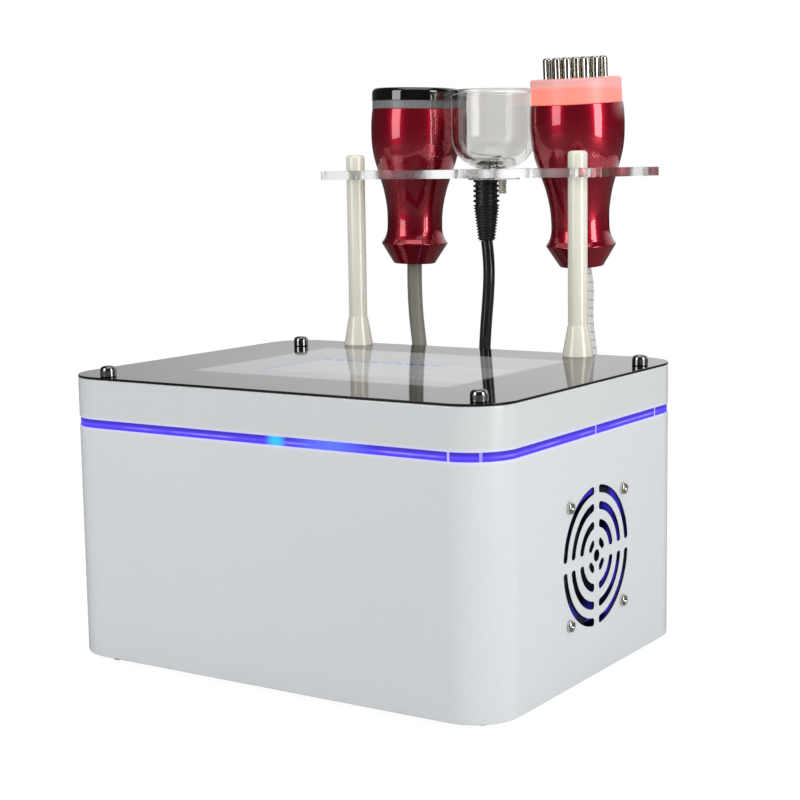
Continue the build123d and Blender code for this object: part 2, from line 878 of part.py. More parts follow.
def make_pump_bracket():
    """A plate on the rubber mounts, with a cradle under the motor."""
    length = head_length + motor_neck + motor_length
    middle = head_left + length / 2
    motor_start = pump_x + motor_neck
    with BuildPart() as pump_bracket:
        with BuildSketch(Plane.XY.offset(plate_base)):
            with Locations((middle, pump_y)):
                Rectangle(length, head_width + 2 * pump_plate_margin)
        extrude(amount=pump_plate)
        with BuildSketch(outward.offset(motor_start + motor_length / 2 - cradle_width / 2)):
            with Locations((pump_y, (plate_base + axis_height - motor_radius / 2) / 2)):
                Rectangle(2 * motor_radius, axis_height - motor_radius / 2 - plate_base)
            with Locations((pump_y, axis_height)):
                Circle(motor_radius + seam_gap, mode=Mode.SUBTRACT)
        extrude(amount=cradle_width)
    return pump_bracket.part


def make_pump_head():
    with BuildPart() as pump_head:
        with BuildSketch(Plane.XY.offset(plate_base + pump_plate)):
            with Locations((pump_x - head_length / 2, pump_y)):
                RectangleRounded(head_length, head_width, head_length / 8)
        extrude(amount=head_tall)
        chamfer(pump_head.faces().sort_by(Axis.Z)[-1].edges(), edge_round)
        with BuildSketch(Plane.XY.offset(port_height)):
            with Locations(*port_places):
                Circle(hose_bore_radius - hose_fit)
        extrude(amount=port_length)
    return pump_head.part


def make_pump_motor():
    with BuildPart() as pump_motor:
        with BuildSketch(outward.offset(pump_x)):
            with Locations((pump_y, axis_height)):
                Circle(motor_radius * 2 / 3)
        extrude(amount=motor_neck)
        with BuildSketch(outward.offset(pump_x + motor_neck)):
            with Locations((pump_y, axis_height)):
                Circle(motor_radius)
        extrude(amount=motor_length)
        chamfer(pump_motor.edges().group_by(Axis.X)[-1], edge_round)
    return pump_motor.part


def make_air_valve():
    with BuildPart() as air_valve:
        with BuildSketch(Plane.XY.offset(floor_top)):
            with Locations((valve_x, valve_y)):
                RectangleRounded(valve_length, valve_width, edge_round)
        extrude(amount=valve_tall)
        with BuildSketch(outward.offset(valve_x + valve_length / 2)):
            with Locations((valve_y, floor_top + valve_tall / 2)):
                Circle(valve_coil_radius)
        extrude(amount=valve_coil_length)
        with BuildSketch(Plane.XY.offset(floor_top + valve_tall)):
            with Locations((valve_x, valve_y - port_spread / 2), (valve_x, valve_y + port_spread / 2)):
                Circle(hose_bore_radius - hose_fit)
        extrude(amount=port_length)
    return air_valve.part


def make_hose(points):
    """A soft tube along straight runs and tangent arcs, with its bore."""
    with BuildPart() as hose:
        with BuildLine() as route:
            FilletPolyline(*points, radius=corner_radii(points))
        with BuildSketch(Plane(origin=points[0], z_dir=run(points[0], points[1]))):
            Circle(hose_radius)
            Circle(hose_bore_radius, mode=Mode.SUBTRACT)
        sweep(path=route.line)
    return hose.part


def hose_routes():
    """Two routes: pump to valve, and valve to the suction handset's socket."""
    inlet = (*port_places[1], port_height)
    top = port_height + 2 * port_length
    valve_top = floor_top + valve_tall
    valve_in = (valve_x, valve_y - port_spread / 2, valve_top)
    valve_out = (valve_x, valve_y + port_spread / 2, valve_top)
    middle_y = (inlet[1] + valve_in[1]) / 2
    rise = 3 * port_length
    pump_hose = [
        inlet,
        (inlet[0], inlet[1], top),
        (inlet[0], middle_y, top + port_length),
        (valve_x, valve_in[1], valve_top + rise),
        valve_in,
    ]
    socket = (socket_places[1], panel_face - socket_depth, socket_height)
    socket_hose = [
        valve_out,
        (valve_x, valve_out[1], valve_top + rise),
        (socket[0], (valve_out[1] + socket[1]) / 2, socket[2] + rise),
        (socket[0], socket[1] - rise, socket[2]),
        socket,
    ]
    return pump_hose, socket_hose


def make_power_supply():
    """A folded metal cover with vent slots, closed by its base."""
    with BuildPart() as power_supply:
        with BuildSketch(Plane.XY.offset(floor_top)):
            with Locations((supply_x, supply_y)):
                Rectangle(supply_length, supply_width)
        extrude(amount=supply_tall)
        inner_length = supply_length - 2 * supply_wall
        with BuildSketch(Plane.XY.offset(floor_top + supply_wall)):
            with Locations((supply_x, supply_y)):
                Rectangle(inner_length, supply_width - 2 * supply_wall)
        extrude(amount=supply_tall - 2 * supply_wall, mode=Mode.SUBTRACT)
        with BuildSketch(Plane.XY.offset(floor_top + supply_tall - overrun)):
            with Locations((supply_x, supply_y)):
                with GridLocations(supply_vent_pitch, 0, supply_vents, 1):
                    SlotOverall(supply_vent_length, supply_vent_width, rotation=90)
        extrude(amount=2 * overrun, mode=Mode.SUBTRACT)
    return power_supply.part


def standoff_places():
    x = board_length / 2 - standoff_inset
    y = board_width / 2 - standoff_inset
    return [(board_x + sx * x, board_y + sy * y) for sx in (-1, 1) for sy in (-1, 1)]


def make_board_standoffs():
    """Four pillars, each with the screw head that holds the board down."""
    with BuildPart() as board_standoffs:
        with BuildSketch(Plane.XY.offset(floor_top)):
            with Locations(*standoff_places()):
                RegularPolygon(standoff_radius, 6)
        extrude(amount=standoff_height)
        with BuildSketch(Plane.XY.offset(floor_top + standoff_height)):
            with Locations(*standoff_places()):
                Circle(standoff_screw_radius)
        extrude(amount=board_thickness)
        with BuildSketch(Plane.XY.offset(floor_top + standoff_height + board_thickness)):
            with Locations(*standoff_places()):
                Circle(standoff_radius)
        extrude(amount=standoff_screw_radius)
    return board_standoffs.part


def make_control_board():
    base = floor_top + standoff_height
    with BuildPart() as control_board:
        with BuildSketch(Plane.XY.offset(base)):
            with Locations((board_x, board_y)):
                Rectangle(board_length, board_width)
            with Locations(*standoff_places()):
                Circle(standoff_screw_radius + clearance_hole, mode=Mode.SUBTRACT)
        extrude(amount=board_thickness)
        with BuildSketch(Plane.XY.offset(base + board_thickness)):
            with Locations((board_x, board_y)):
                with GridLocations(board_length / 4, board_width / 3, 3, 2):
                    Rectangle(board_chip, board_chip)
        extrude(amount=board_chip_tall)
        with BuildSketch(Plane.XY.offset(base + board_thickness)):
            with Locations((board_x, board_y)):
                with GridLocations(2 * board_chip, 0, 4, 1):
                    Circle(board_chip / 4)
        extrude(amount=board_tall_part)
    return control_board.part


# Holder posts and plate


def make_holder_posts():
    base = top_face + post_foot_height
    with BuildPart() as holder_posts:
        with BuildSketch(Plane.XY.offset(base)):
            with Locations(*post_places):
                Circle(post_radius)
        extrude(amount=holder_height - base)
        low = deck_under - stud_nut_reach
        with BuildSketch(Plane.XY.offset(low)):
            with Locations(*post_places):
                Circle(stud_radius)
        extrude(amount=holder_top + stud_cap_reach - low)
    return holder_posts.part


def make_post_feet():
    """Two cones: a short rim, then a straight side up to a narrow ledge round the post."""
    start = stud_radius + clearance_hole
    with BuildPart() as foot:
        with BuildSketch(Plane.XZ):
            with BuildLine():
                Polyline(
                    (start, 0),
                    (post_foot_radius, 0),
                    (post_foot_radius, post_foot_rim),
                    (post_radius + post_foot_ledge, post_foot_height),
                    (start, post_foot_height),
                    (start, 0),
                )
            make_face()
        revolve(axis=Axis.Z)
    feet = [Pos(x, y, top_face) * foot.part for x, y in post_places]
    with BuildPart() as post_feet:
        add(feet)
    return post_feet.part


def make_post_caps():
    with BuildPart() as post_caps:
        with BuildSketch(Plane.XY.offset(holder_top)):
            with Locations(*post_places):
                Circle(post_radius)
        extrude(amount=post_cap_height)
        fillet(post_caps.edges().group_by(Axis.Z)[-1], post_cap_dome)
        with BuildSketch(Plane.XY.offset(holder_top)):
            with Locations(*post_places):
                Circle(stud_radius + screw_fit)
        extrude(amount=stud_cap_reach + seam_gap, mode=Mode.SUBTRACT)
    return post_caps.part


def make_post_nuts():
    with BuildPart() as post_nuts:
        with BuildSketch(Plane.XY.offset(deck_under)):
            with Locations(*post_places):
                RegularPolygon(nut_flats / 2, 6, major_radius=False)
                Circle(stud_radius + screw_fit, mode=Mode.SUBTRACT)
        extrude(amount=-nut_height)
    return post_nuts.part


def make_holder_plate():
    """The clear plate, with two handset holes, the cup's hole and a slot behind each for the cord."""
    middle = (holder_front + holder_rear) / 2
    depth = holder_rear - holder_front
    slot_reach = holder_rear - handset_y + overrun
    with BuildPart() as holder_plate:
        with BuildSketch(Plane.XY.offset(holder_height)):
            with Locations((0, middle)):
                RectangleRounded(holder_length, depth, holder_corner)
            with Locations(*post_places):
                Circle(stud_radius + clearance_hole, mode=Mode.SUBTRACT)
            with Locations((left_seat_x, handset_y), (right_seat_x, handset_y)):
                Circle(seat_radius, mode=Mode.SUBTRACT)
            with Locations((0, handset_y)):
                Circle(cup_hole_radius, mode=Mode.SUBTRACT)
            with Locations(*[(x, handset_y + slot_reach / 2) for x in (left_seat_x, boot_x, right_seat_x)]):
                Rectangle(cord_slot_width, slot_reach, mode=Mode.SUBTRACT)
        extrude(amount=holder_thickness)
    return holder_plate.part


# Handsets: each is made on its own axis, with height 0 at the holder's top face


def barrel_outline(inset):
    """Half of a barrel's section, from the tail to the rim, moved inwards by inset."""
    with BuildLine() as outline:
        cone = Line((barrel_tail_radius - inset, barrel_tail), (barrel_flare_radius - inset, barrel_flare))
        cove = Spline(
            cone @ 1,
            (barrel_waist_radius - inset, barrel_waist),
            tangents=((-1, 1), (0, 1)),
            tangent_scalars=(0.6, 1),
        )
        Spline(
            cove @ 1,
            (barrel_taper_radius - inset, barrel_taper),
            (barrel_seat_radius - inset, 0),
            (barrel_shoulder_radius - inset, barrel_shoulder),
            (barrel_belly_radius - inset, barrel_belly),
            (barrel_top_radius - inset, barrel_rim),
            tangents=((0, 1), (-1, 12)),
            tangent_scalars=(1, 1),
        )
    return outline.line


def make_barrel():
    """A turned shell that is solid below its waist, apart from the cord's way out."""
    inner_radius = barrel_waist_radius - barrel_wall
    with BuildPart() as barrel:
        with BuildSketch(Plane.XZ):
            with BuildLine():
                add(barrel_outline(0))
                Polyline((barrel_top_radius, barrel_rim), (0, barrel_rim), (0, barrel_tail))
                Line((0, barrel_tail), (barrel_tail_radius, barrel_tail))
            make_face()
        revolve(axis=Axis.Z)
        with BuildSketch(Plane.XZ):
            with BuildLine():
                side = Polyline(
                    (0, barrel_waist + barrel_floor),
                    (inner_radius, barrel_waist + barrel_floor),
                    (barrel_seat_radius - barrel_wall - barrel_lip, 0),
                    (barrel_shoulder_radius - barrel_wall - barrel_lip, barrel_shoulder),
                )
                Polyline(
                    side @ 1,
                    (barrel_top_radius - barrel_wall, barrel_belly),
                    (barrel_top_radius - barrel_wall, barrel_rim),
                    (0, barrel_rim),
                    (0, barrel_waist + barrel_floor),
                )
            make_face()
        revolve(axis=Axis.Z, mode=Mode.SUBTRACT)
    return barrel.part


def make_head_ring():
    with BuildPart() as head_ring:
        with BuildSketch(Plane.XY.offset(barrel_rim)):
            Circle(ring_radius)
            Circle(head_bore_radius, mode=Mode.SUBTRACT)
        extrude(amount=ring_height)
    return head_ring.part


def make_head_cap():
    base = barrel_rim + ring_height
    with BuildPart() as head_cap:
        with BuildSketch(Plane.XY.offset(base)):
            Circle(cap_head_radius)
        extrude(amount=cap_head_height)
        fillet(head_cap.edges().group_by(Axis.Z)[-1], cap_head_round)
        with BuildSketch(Plane.XY.offset(base)):
            Circle(cap_head_radius - cap_head_wall)
        extrude(amount=cap_head_height - cap_head_wall, mode=Mode.SUBTRACT)
    return head_cap.part


def make_head_core():
    with BuildPart() as head_core:
        with BuildSketch(Plane.XY.offset(barrel_rim)):
            Circle(barrel_top_radius - barrel_wall - head_fit)
        extrude(amount=-core_flange)
        with BuildSketch(Plane.XY.offset(barrel_rim - core_flange)):
            Circle(core_radius)
        extrude(amount=-core_drop)
    return head_core.part


def make_light_ring():
    with BuildPart() as light_ring:
        with BuildSketch(Plane.XY.offset(barrel_rim)):
            Circle(light_ring_radius)
        extrude(amount=light_ring_height)
        fillet(light_ring.edges().group_by(Axis.Z)[-1], light_ring_round)
        with BuildSketch(Plane.XY.offset(barrel_rim)):
            Circle(head_bore_radius)
        extrude(amount=light_ring_height, mode=Mode.SUBTRACT)
    return light_ring.part


def make_pin_plate():
    top = barrel_rim + light_ring_height
    with BuildPart() as pin_plate:
        with BuildSketch(Plane.XY.offset(top)):
            Circle(head_bore_radius - head_fit)
        extrude(amount=-pin_plate_thickness)
    return pin_plate.part


def make_steel_pins():
    """Pins in staggered rows, as many as fit a circle."""
    top = barrel_rim + light_ring_height
    rows = range(-pin_rows, pin_rows + 1)
    grid = [(column + row / 2, row * sqrt(3) / 2) for row in rows for column in rows]
    reach = steel_pin_circle / steel_pin_pitch
    places = [(x * steel_pin_pitch, y * steel_pin_pitch) for x, y in grid if x * x + y * y <= reach * reach]
    with BuildPart() as steel_pins:
        with BuildSketch(Plane.XY.offset(top)):
            with Locations(*places):
                Circle(steel_pin_radius)
        extrude(amount=steel_pin_height)
        fillet(steel_pins.edges().group_by(Axis.Z)[-1], steel_pin_round)
    return steel_pins.part


def make_led_board():
    with BuildPart() as led_board:
        with BuildSketch(Plane.XY.offset(barrel_rim)):
            Circle(barrel_top_radius - barrel_wall - head_fit)
        extrude(amount=-led_disc)
        with BuildSketch(Plane.XY.offset(barrel_rim)):
            with PolarLocations(led_circle, leds):
                Circle(led_radius)
        extrude(amount=led_height)
    return led_board.part


def make_vacuum_cup():
    """A thick clear beaker with a small rim, a round bottom edge and the suction port."""
    with BuildPart() as vacuum_cup:
        with BuildSketch():
            Circle(cup_radius)
        extrude(amount=cup_height)
        fillet(vacuum_cup.edges().group_by(Axis.Z)[0], cup_bottom_round)
        with BuildSketch(Plane.XY.offset(cup_height - cup_rim_height)):
            Circle(cup_rim_radius)
        extrude(amount=cup_rim_height)
        fillet(vacuum_cup.edges().group_by(Axis.Z)[-1], edge_round)
    with BuildPart() as hollow:
        with BuildSketch(Plane.XY.offset(cup_floor)):
            Circle(cup_radius - cup_wall)
        extrude(amount=cup_height)
        fillet(hollow.edges().group_by(Axis.Z)[0], cup_bottom_round - cup_wall)
        with BuildSketch():
            Circle(cup_port_radius)
        extrude(amount=cup_height)
    with BuildPart() as cup:
        add(vacuum_cup.part)
        add(hollow.part, mode=Mode.SUBTRACT)
    return cup.part


def make_cup_stem():
    with BuildPart() as cup_stem:
        with BuildSketch():
            Circle(cup_hole_radius - stem_fit)
            with Locations((boot_x, 0)):
                Circle(boot_end_radius + clearance_hole, mode=Mode.SUBTRACT)
        extrude(amount=-stem_drop)
    return cup_stem.part


def make_cup_boot():
    """A ribbed bend relief: coarse ribs, then finer ones on a taper, round a core in the stem."""
    points = [(boot_radius, 0)]
    step = boot_coarse_length / boot_coarse_ribs
    for rib in range(boot_coarse_ribs):
        low = -rib * step
        points += [
            (boot_radius, low - step * 0.45),
            (boot_radius - boot_coarse_groove, low - step * 0.6),
            (boot_radius - boot_coarse_groove, low - step * 0.85),
            (boot_radius, low - step),
        ]
    fine_length = boot_length - boot_coarse_length
    step = fine_length / boot_fine_ribs
    for rib in range(boot_fine_ribs):
        low = -boot_coarse_length - rib * step
        share = (rib + 1) / boot_fine_ribs
        radius = boot_radius + (boot_end_radius - boot_radius) * share
        points += [
            (radius, low - step * 0.15),
            (radius, low - step * 0.5),
            (radius - boot_fine_groove, low - step * 0.65),
            (radius - boot_fine_groove, low - step),
        ]
    with BuildPart() as cup_boot:
        with BuildSketch(Plane.XZ):
            with BuildLine():
                Polyline(*points, (0, -boot_length), (0, boot_root), (boot_end_radius, boot_root))
                Polyline((boot_end_radius, boot_root), (boot_end_radius, 0), points[0])
            make_face()
        revolve(axis=Axis.Z)
    return cup_boot.part


def make_air_nipple():
    step = nipple_length / nipple_barbs
    points = [(nipple_bore_radius, 0), (nipple_radius, 0)]
    for barb in range(nipple_barbs):
        points += [
            (nipple_radius, -(barb + 0.7) * step),
            (nipple_radius - nipple_barb, -(barb + 1) * step),
        ]
    with BuildPart() as air_nipple:
        with BuildSketch(Plane.XZ):
            with BuildLine():
                Polyline(*points, (nipple_bore_radius, -nipple_length), (nipple_bore_radius, 0))
            make_face()
        revolve(axis=Axis.Z)
    return air_nipple.part


# Cords


def run(start, end):
    return Vector(*end) - Vector(*start)


def corner_radii(points):
    """The arc at each corner: 0.45 of the shorter run, over the tangent of half the turn."""
    radii = []
    for before, corner, after in zip(points, points[1:], points[2:]):
        first = run(before, corner)
        second = run(corner, after)
        half_turn = radians(first.get_angle(second)) / 2
        radii.append(0.45 * min(first.length, second.length) / tan(half_turn))
    return radii


def make_cord_run(name, points, diameter):
    """A free stretch of cord: straight runs joined by tangent arcs."""
    radii = corner_radii(points)
    with BuildPart() as cord:
        with BuildLine() as route:
            FilletPolyline(*points, radius=radii)
        with BuildSketch(Plane(origin=points[0], z_dir=run(points[0], points[1]))):
            Circle(diameter / 2)
        sweep(path=route.line)
    tube = pi * diameter**2 / 4 * route.wire().length
    print(
        f"{name}: {route.wire().length:.0f} mm,"
        f" tightest {min(radii):.1f} mm ({min(radii) / diameter:.1f} diameters),"
        f" volume {cord.part.volume / tube:.4f} of section times length"
    )
    return cord.part


def coil_point(centre, seat, mean_radius, diameter, quarters, first_angle, at):
    """A point of a neat coil, at a number of quarter turns from its start, seen clockwise from above.

    The radius shrinks steadily by one pitch a turn to the middle of the length and grows again,
    and the cord climbs one layer in the half turn where the spiral reverses.
    """
    pitch = diameter + coil_gap
    swing = quarters / 2 * pitch / 4
    radius = mean_radius - swing / 2 + abs(at - quarters / 2) * pitch / 4
    climb = min(max((at - quarters / 2 + 1) / 2, 0), 1)
    layer = diameter + coil_lift
    height = seat + diameter / 2 + layer * climb * climb * (3 - 2 * climb)
    angle = radians(first_angle - 90 * at)
    return Vector(centre[0] + radius * cos(angle), centre[1] + radius * sin(angle), height)


def make_coil(name, centre, seat, mean_radius, diameter, quarters, first_angle, leads):
    """A coil as one tube on pairs of arcs, one pair for each quarter turn, with straight leads."""
    shape = (centre, seat, mean_radius, diameter, quarters, first_angle)
    step = 0.01
    knots = []
    for at in range(quarters + 1):
        here = coil_point(*shape, at)
        ahead = coil_point(*shape, at + step) - coil_point(*shape, at - step)
        ahead = ahead.normalized()
        if at == 0:
            ahead = leads[0]
        if at == quarters:
            ahead = leads[1]
        knots.append((here, ahead))
    with BuildPart() as coil:
        with BuildLine() as route:
            Line(knots[0][0] - leads[0] * diameter, knots[0][0])
            for (start, leave), (end, arrive) in zip(knots, knots[1:]):
                span = end - start
                both = leave + arrive
                bend = 2 * (1 - leave.dot(arrive))
                reach = (-span.dot(both) + sqrt(span.dot(both) ** 2 + bend * span.dot(span))) / bend
                first_pole = start + leave * reach
                second_pole = end - arrive * reach
                joint = (first_pole + second_pole) / 2
                TangentArc(start, joint, tangent=leave)
                TangentArc(joint, end, tangent=second_pole - first_pole)
            Line(knots[-1][0], knots[-1][0] + leads[1] * diameter)
        with BuildSketch(Plane(origin=route.line @ 0, z_dir=leads[0])):
            Circle(diameter / 2)
        sweep(path=route.line)
    tube = pi * diameter**2 / 4 * route.wire().length
    marks = 24
    points = [coil_point(*shape, at / marks) for at in range(quarters * marks + 1)]
    apart = min(
        (a - b).length for i, a in enumerate(points) for b in points[i + 2 * marks :]
    )
    print(
        f"{name}: {route.wire().length:.0f} mm, {quarters / 4} turns,"
        f" least gap to itself {apart - diameter:.2f} mm,"
        f" volume {coil.part.volume / tube:.4f} of section times length"
    )
    return coil.part


# Placing and writing everything

left_place = Pos(left_seat_x - left_shift, handset_y, holder_top) * Rot(0, left_lean, 0)
cup_place = Pos(0, handset_y, holder_top)
right_place = Pos(right_seat_x, handset_y + right_shift, holder_top) * Rot(right_lean, 0, 0)
stem_low = Pos(0, 0, -stem_drop)


def main():
    os.makedirs("parts", exist_ok=True)
    save(make_lower_shell(), "lower_shell")
    save(make_upper_cover(), "upper_cover")
    save(make_top_sheet(), "top_sheet")
    save(make_light_guide(), "light_guide")
    save(make_led_strip(), "led_strip")
    save(make_rubber_feet(), "rubber_feet")
    save(make_touch_screen(), "touch_screen")
    save(make_display_panel(), "display_panel")
    save(make_cap_screws(), "cap_screws")
    save(make_pillars(), "pillars")
    save(make_pillar_screws(), "pillar_screws")
    save(make_fan_frame(), "fan_frame")
    save(make_fan_rotor(), "fan_rotor")
    save(make_fan_screws(), "fan_screws")
    save(make_rear_panel(), "rear_panel")
    save(make_panel_screws(), "panel_screws")
    save(make_handset_sockets(), "handset_sockets")
    save(make_mains_inlet(), "mains_inlet")
    save(make_power_rocker(), "power_rocker")
    save(make_fuse_drawer(), "fuse_drawer")
    save(make_pump_mounts(), "pump_mounts")
    save(make_pump_bracket(), "pump_bracket")
    save(make_pump_head(), "pump_head")
    save(make_pump_motor(), "pump_motor")
    save(make_air_valve(), "air_valve")
    pump_route, socket_route = hose_routes()
    save(make_hose(pump_route), "pump_hose")
    save(make_hose(socket_route), "socket_hose")
    save(make_power_supply(), "power_supply")
    save(make_board_standoffs(), "board_standoffs")
    save(make_control_board(), "control_board")
    save(make_holder_posts(), "holder_posts")
    save(make_post_feet(), "post_feet")
    save(make_post_caps(), "post_caps")
    save(make_post_nuts(), "post_nuts")
    save(make_holder_plate(), "holder_plate")
    barrel = make_barrel()
    save(left_place * barrel, "left_barrel")
    save(left_place * make_head_ring(), "left_ring")
    save(left_place * make_head_cap(), "left_cap")
    save(left_place * make_head_core(), "left_core")
    save(right_place * barrel, "right_barrel")
    save(right_place * make_light_ring(), "light_ring")
    save(right_place * make_pin_plate(), "pin_plate")
    save(right_place * make_steel_pins(), "steel_pins")
    save(right_place * make_led_board(), "led_board")
    save(cup_place * make_vacuum_cup(), "vacuum_cup")
    save(cup_place * make_cup_stem(), "cup_stem")
    save(cup_place * stem_low * Pos(boot_x, 0, 0) * make_cup_boot(), "cup_boot")
    save(cup_place * stem_low * Pos(nipple_x, 0, 0) * make_air_nipple(), "air_nipple")
    save(make_plug(socket_places[0], left_cord_diameter), "left_plug")
    save(make_plug(socket_places[1], cup_cord_diameter), "cup_plug")
    save(make_plug(socket_places[2], right_cord_diameter), "right_plug")
    save(make_cord_run("left_drop", left_drop_route, left_cord_diameter), "left_drop")
    save(make_cord_run("left_return", left_return_route, left_cord_diameter), "left_return")
    save(make_cord_run("cup_drop", cup_drop_route, cup_cord_diameter), "cup_drop")
    save(make_cord_run("cup_return", cup_return_route, cup_cord_diameter), "cup_return")
    save(make_cord_run("right_drop", right_drop_route, right_cord_diameter), "right_drop")
    save(make_cord_run("right_return", right_return_route, right_cord_diameter), "right_return")
    forwards = Vector(0, -1, 0)
    leftwards = Vector(-1, 0, 0)
    left_coil = make_coil(
        "left_coil", left_coil_centre, 0, left_coil_radius, left_cord_diameter,
        left_coil_quarters, -90, (leftwards, forwards),
    )
    save(left_coil, "left_coil")
    right_coil = make_coil(
        "right_coil", right_coil_centre, 0, right_coil_radius, right_cord_diameter,
        right_coil_quarters, -90, (leftwards, forwards),
    )
    save(right_coil, "right_coil")
    cup_seat = 2 * right_cord_diameter + coil_lift + cup_coil_seat
    cup_coil = make_coil(
        "cup_coil", right_coil_centre, cup_seat, cup_coil_radius, cup_cord_diameter,
        cup_coil_quarters, -180, (Vector(0, 1, 0), forwards),
    )
    save(cup_coil, "cup_coil")


main()
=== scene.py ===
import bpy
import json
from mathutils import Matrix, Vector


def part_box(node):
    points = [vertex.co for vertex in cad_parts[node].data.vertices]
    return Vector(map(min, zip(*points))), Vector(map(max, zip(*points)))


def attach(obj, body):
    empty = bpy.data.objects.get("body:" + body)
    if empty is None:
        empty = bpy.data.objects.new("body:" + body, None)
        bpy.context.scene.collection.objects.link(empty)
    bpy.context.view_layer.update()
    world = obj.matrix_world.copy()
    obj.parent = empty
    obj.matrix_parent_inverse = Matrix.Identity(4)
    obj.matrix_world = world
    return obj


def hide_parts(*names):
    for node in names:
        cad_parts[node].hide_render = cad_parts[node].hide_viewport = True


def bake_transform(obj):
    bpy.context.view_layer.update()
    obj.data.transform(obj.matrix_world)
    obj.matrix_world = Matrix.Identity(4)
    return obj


bl_info = {
    "name": "Vacuum cupping machine",
    "version": (1, 0, 0),
    "blender": (4, 5, 0),
    "location": "3D View > Sidebar > Cupping",
    "description": "Dresses the packed model of a vacuum cupping machine and sets up its stage",
    "category": "Object",
}

import json
import math

import bmesh
import bpy
import numpy as np
from mathutils import Euler, Matrix, Vector

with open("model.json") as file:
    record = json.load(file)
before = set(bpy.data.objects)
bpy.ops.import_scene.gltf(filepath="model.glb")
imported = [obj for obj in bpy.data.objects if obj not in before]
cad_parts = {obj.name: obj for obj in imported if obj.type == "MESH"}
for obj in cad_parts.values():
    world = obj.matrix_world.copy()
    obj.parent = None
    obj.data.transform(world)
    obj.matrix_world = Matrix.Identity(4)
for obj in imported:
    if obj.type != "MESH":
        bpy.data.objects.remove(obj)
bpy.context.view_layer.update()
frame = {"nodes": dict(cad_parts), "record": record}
nodes = frame["nodes"]
body_of_node = {
    node: body for body, members in frame["record"]["behaviour"]["bodies"].items() for node in members
}

MM = 0.001

# Points nearer than this merge, and a CAD node's edges that turn further than this angle stay sharp
SEAM = 0.002 * MM
CAD_SHARP = 28

# Places that the pieces share, in metres
SHEET_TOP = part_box("top_sheet")[1][2]
HOLDER_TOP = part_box("holder_plate")[1][2]
BAND_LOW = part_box("light_guide")[0][2]
BAND_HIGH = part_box("light_guide")[1][2]
CASE_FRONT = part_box("lower_shell")[0][1]
CASE_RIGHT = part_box("lower_shell")[1][0]
FAN_HEIGHT = 79.5 * MM
HANDSET_Y = 156.0 * MM
LEFT_PLACE = (-67.0195 * MM, HANDSET_Y, HOLDER_TOP)
RIGHT_PLACE = (67.5 * MM, 156.584 * MM, HOLDER_TOP)
LEFT_LEAN = (0, math.radians(1.5))
RIGHT_LEAN = (math.radians(4.0), 0)


# Sizes and colours that a user may change


def colour_property(name, description, default):
    """A colour that a user may change."""
    return bpy.props.FloatVectorProperty(
        name=name, description=description, default=default, subtype="COLOR", size=3, min=0.0, max=1.0
    )


class CaseLooks(bpy.types.PropertyGroup):
    """Colours of the case, its light and its screen, and the top sheet's edge"""

    silver: colour_property("Case", "Lacquer of the lower shell", (0.63, 0.655, 0.672))
    # The case's lacquer a little darker, as painted shade on the upper cover
    cover: colour_property("Cover", "Lacquer of the upper cover", (0.595, 0.618, 0.628))
    band: colour_property("Light band", "Light of the band round the case", (0.060, 0.032, 0.68))
    band_core: colour_property("Band core", "Light in the middle of the band", (0.30, 0.24, 1.0))
    screen: colour_property("Screen", "Light of the plain screen layout", (0.66, 0.68, 0.70))
    edge: bpy.props.FloatProperty(
        name="Sheet edge", description="Rounding of the top sheet's edge", default=0.3 * MM, unit="LENGTH"
    )


class HandsetLooks(bpy.types.PropertyGroup):
    """Colours of the handsets, and how finely their pieces are turned"""

    red: colour_property("Barrels", "Clear lacquer over the handsets' metallic ground", (0.30, 0.005, 0.020))
    glow: colour_property("Ring glow", "Light at the foot of the right handset's ring", (0.86, 0.155, 0.10))
    glow_top: colour_property("Ring top", "Light at the top of the right handset's ring", (0.46, 0.25, 0.24))
    segments: bpy.props.IntProperty(
        name="Segments", description="Faces round each turned piece", default=128, min=24, max=256
    )


class CordLooks(bpy.types.PropertyGroup):
    """Colours of the cords, and how finely they are drawn"""

    grey: colour_property("Left cord", "Silicone of the left handset's cord", (0.225, 0.22, 0.18))
    black: colour_property("Cup cord", "Silicone of the cup's cord", (0.008, 0.008, 0.009))
    white: colour_property("Right cord", "Sleeve of the right handset's cord", (0.56, 0.57, 0.56))
    sides: bpy.props.IntProperty(name="Sides", description="Faces round a cord", default=28, min=8, max=64)


# Surfaces worked out as arrays


def grid_faces(rows, columns, wrap_rows=False):
    """Quads between neighbouring grid points, with the columns closed into rings.

    Quad (i, j) joins points (i, j), (i, j+1), (i+1, j+1) and (i+1, j), with j taken round the ring."""
    count = rows if wrap_rows else rows - 1
    i, j = np.meshgrid(np.arange(count), np.arange(columns), indexing="ij")
    after_i = (i + 1) % rows
    after_j = (j + 1) % columns
    here, above = i * columns, after_i * columns
    return np.stack([here + j, here + after_j, above + after_j, above + j], axis=-1).reshape(-1, 4)


def turned(profile, segments, place, lean=(0, 0), closed=False):
    """A surface of revolution: x = r cos a, y = r sin a, z = h for each profile point (r, h) and angle a.

    The result leans by one angle about X and one about Y and moves to its place."""
    profile = np.asarray(profile, float)
    angle = np.linspace(0, 2 * np.pi, segments, endpoint=False)
    radius = profile[:, :1] * np.ones_like(angle)
    height = profile[:, 1:] * np.ones_like(angle)
    points = np.stack([radius * np.cos(angle), radius * np.sin(angle), height], axis=-1)
    points = points @ np.array(Euler((*lean, 0)).to_matrix()).T + np.asarray(place, float)
    return points.reshape(-1, 3), grid_faces(len(profile), segments, closed)


def joined(surfaces):
    """Several surfaces as one: each one's faces are shifted by the points before it."""
    shifts = np.cumsum([0] + [len(points) for points, _ in surfaces[:-1]])
    points = np.concatenate([points for points, _ in surfaces])
    faces = np.concatenate([faces + shift for (_, faces), shift in zip(surfaces, shifts)])
    return points, faces


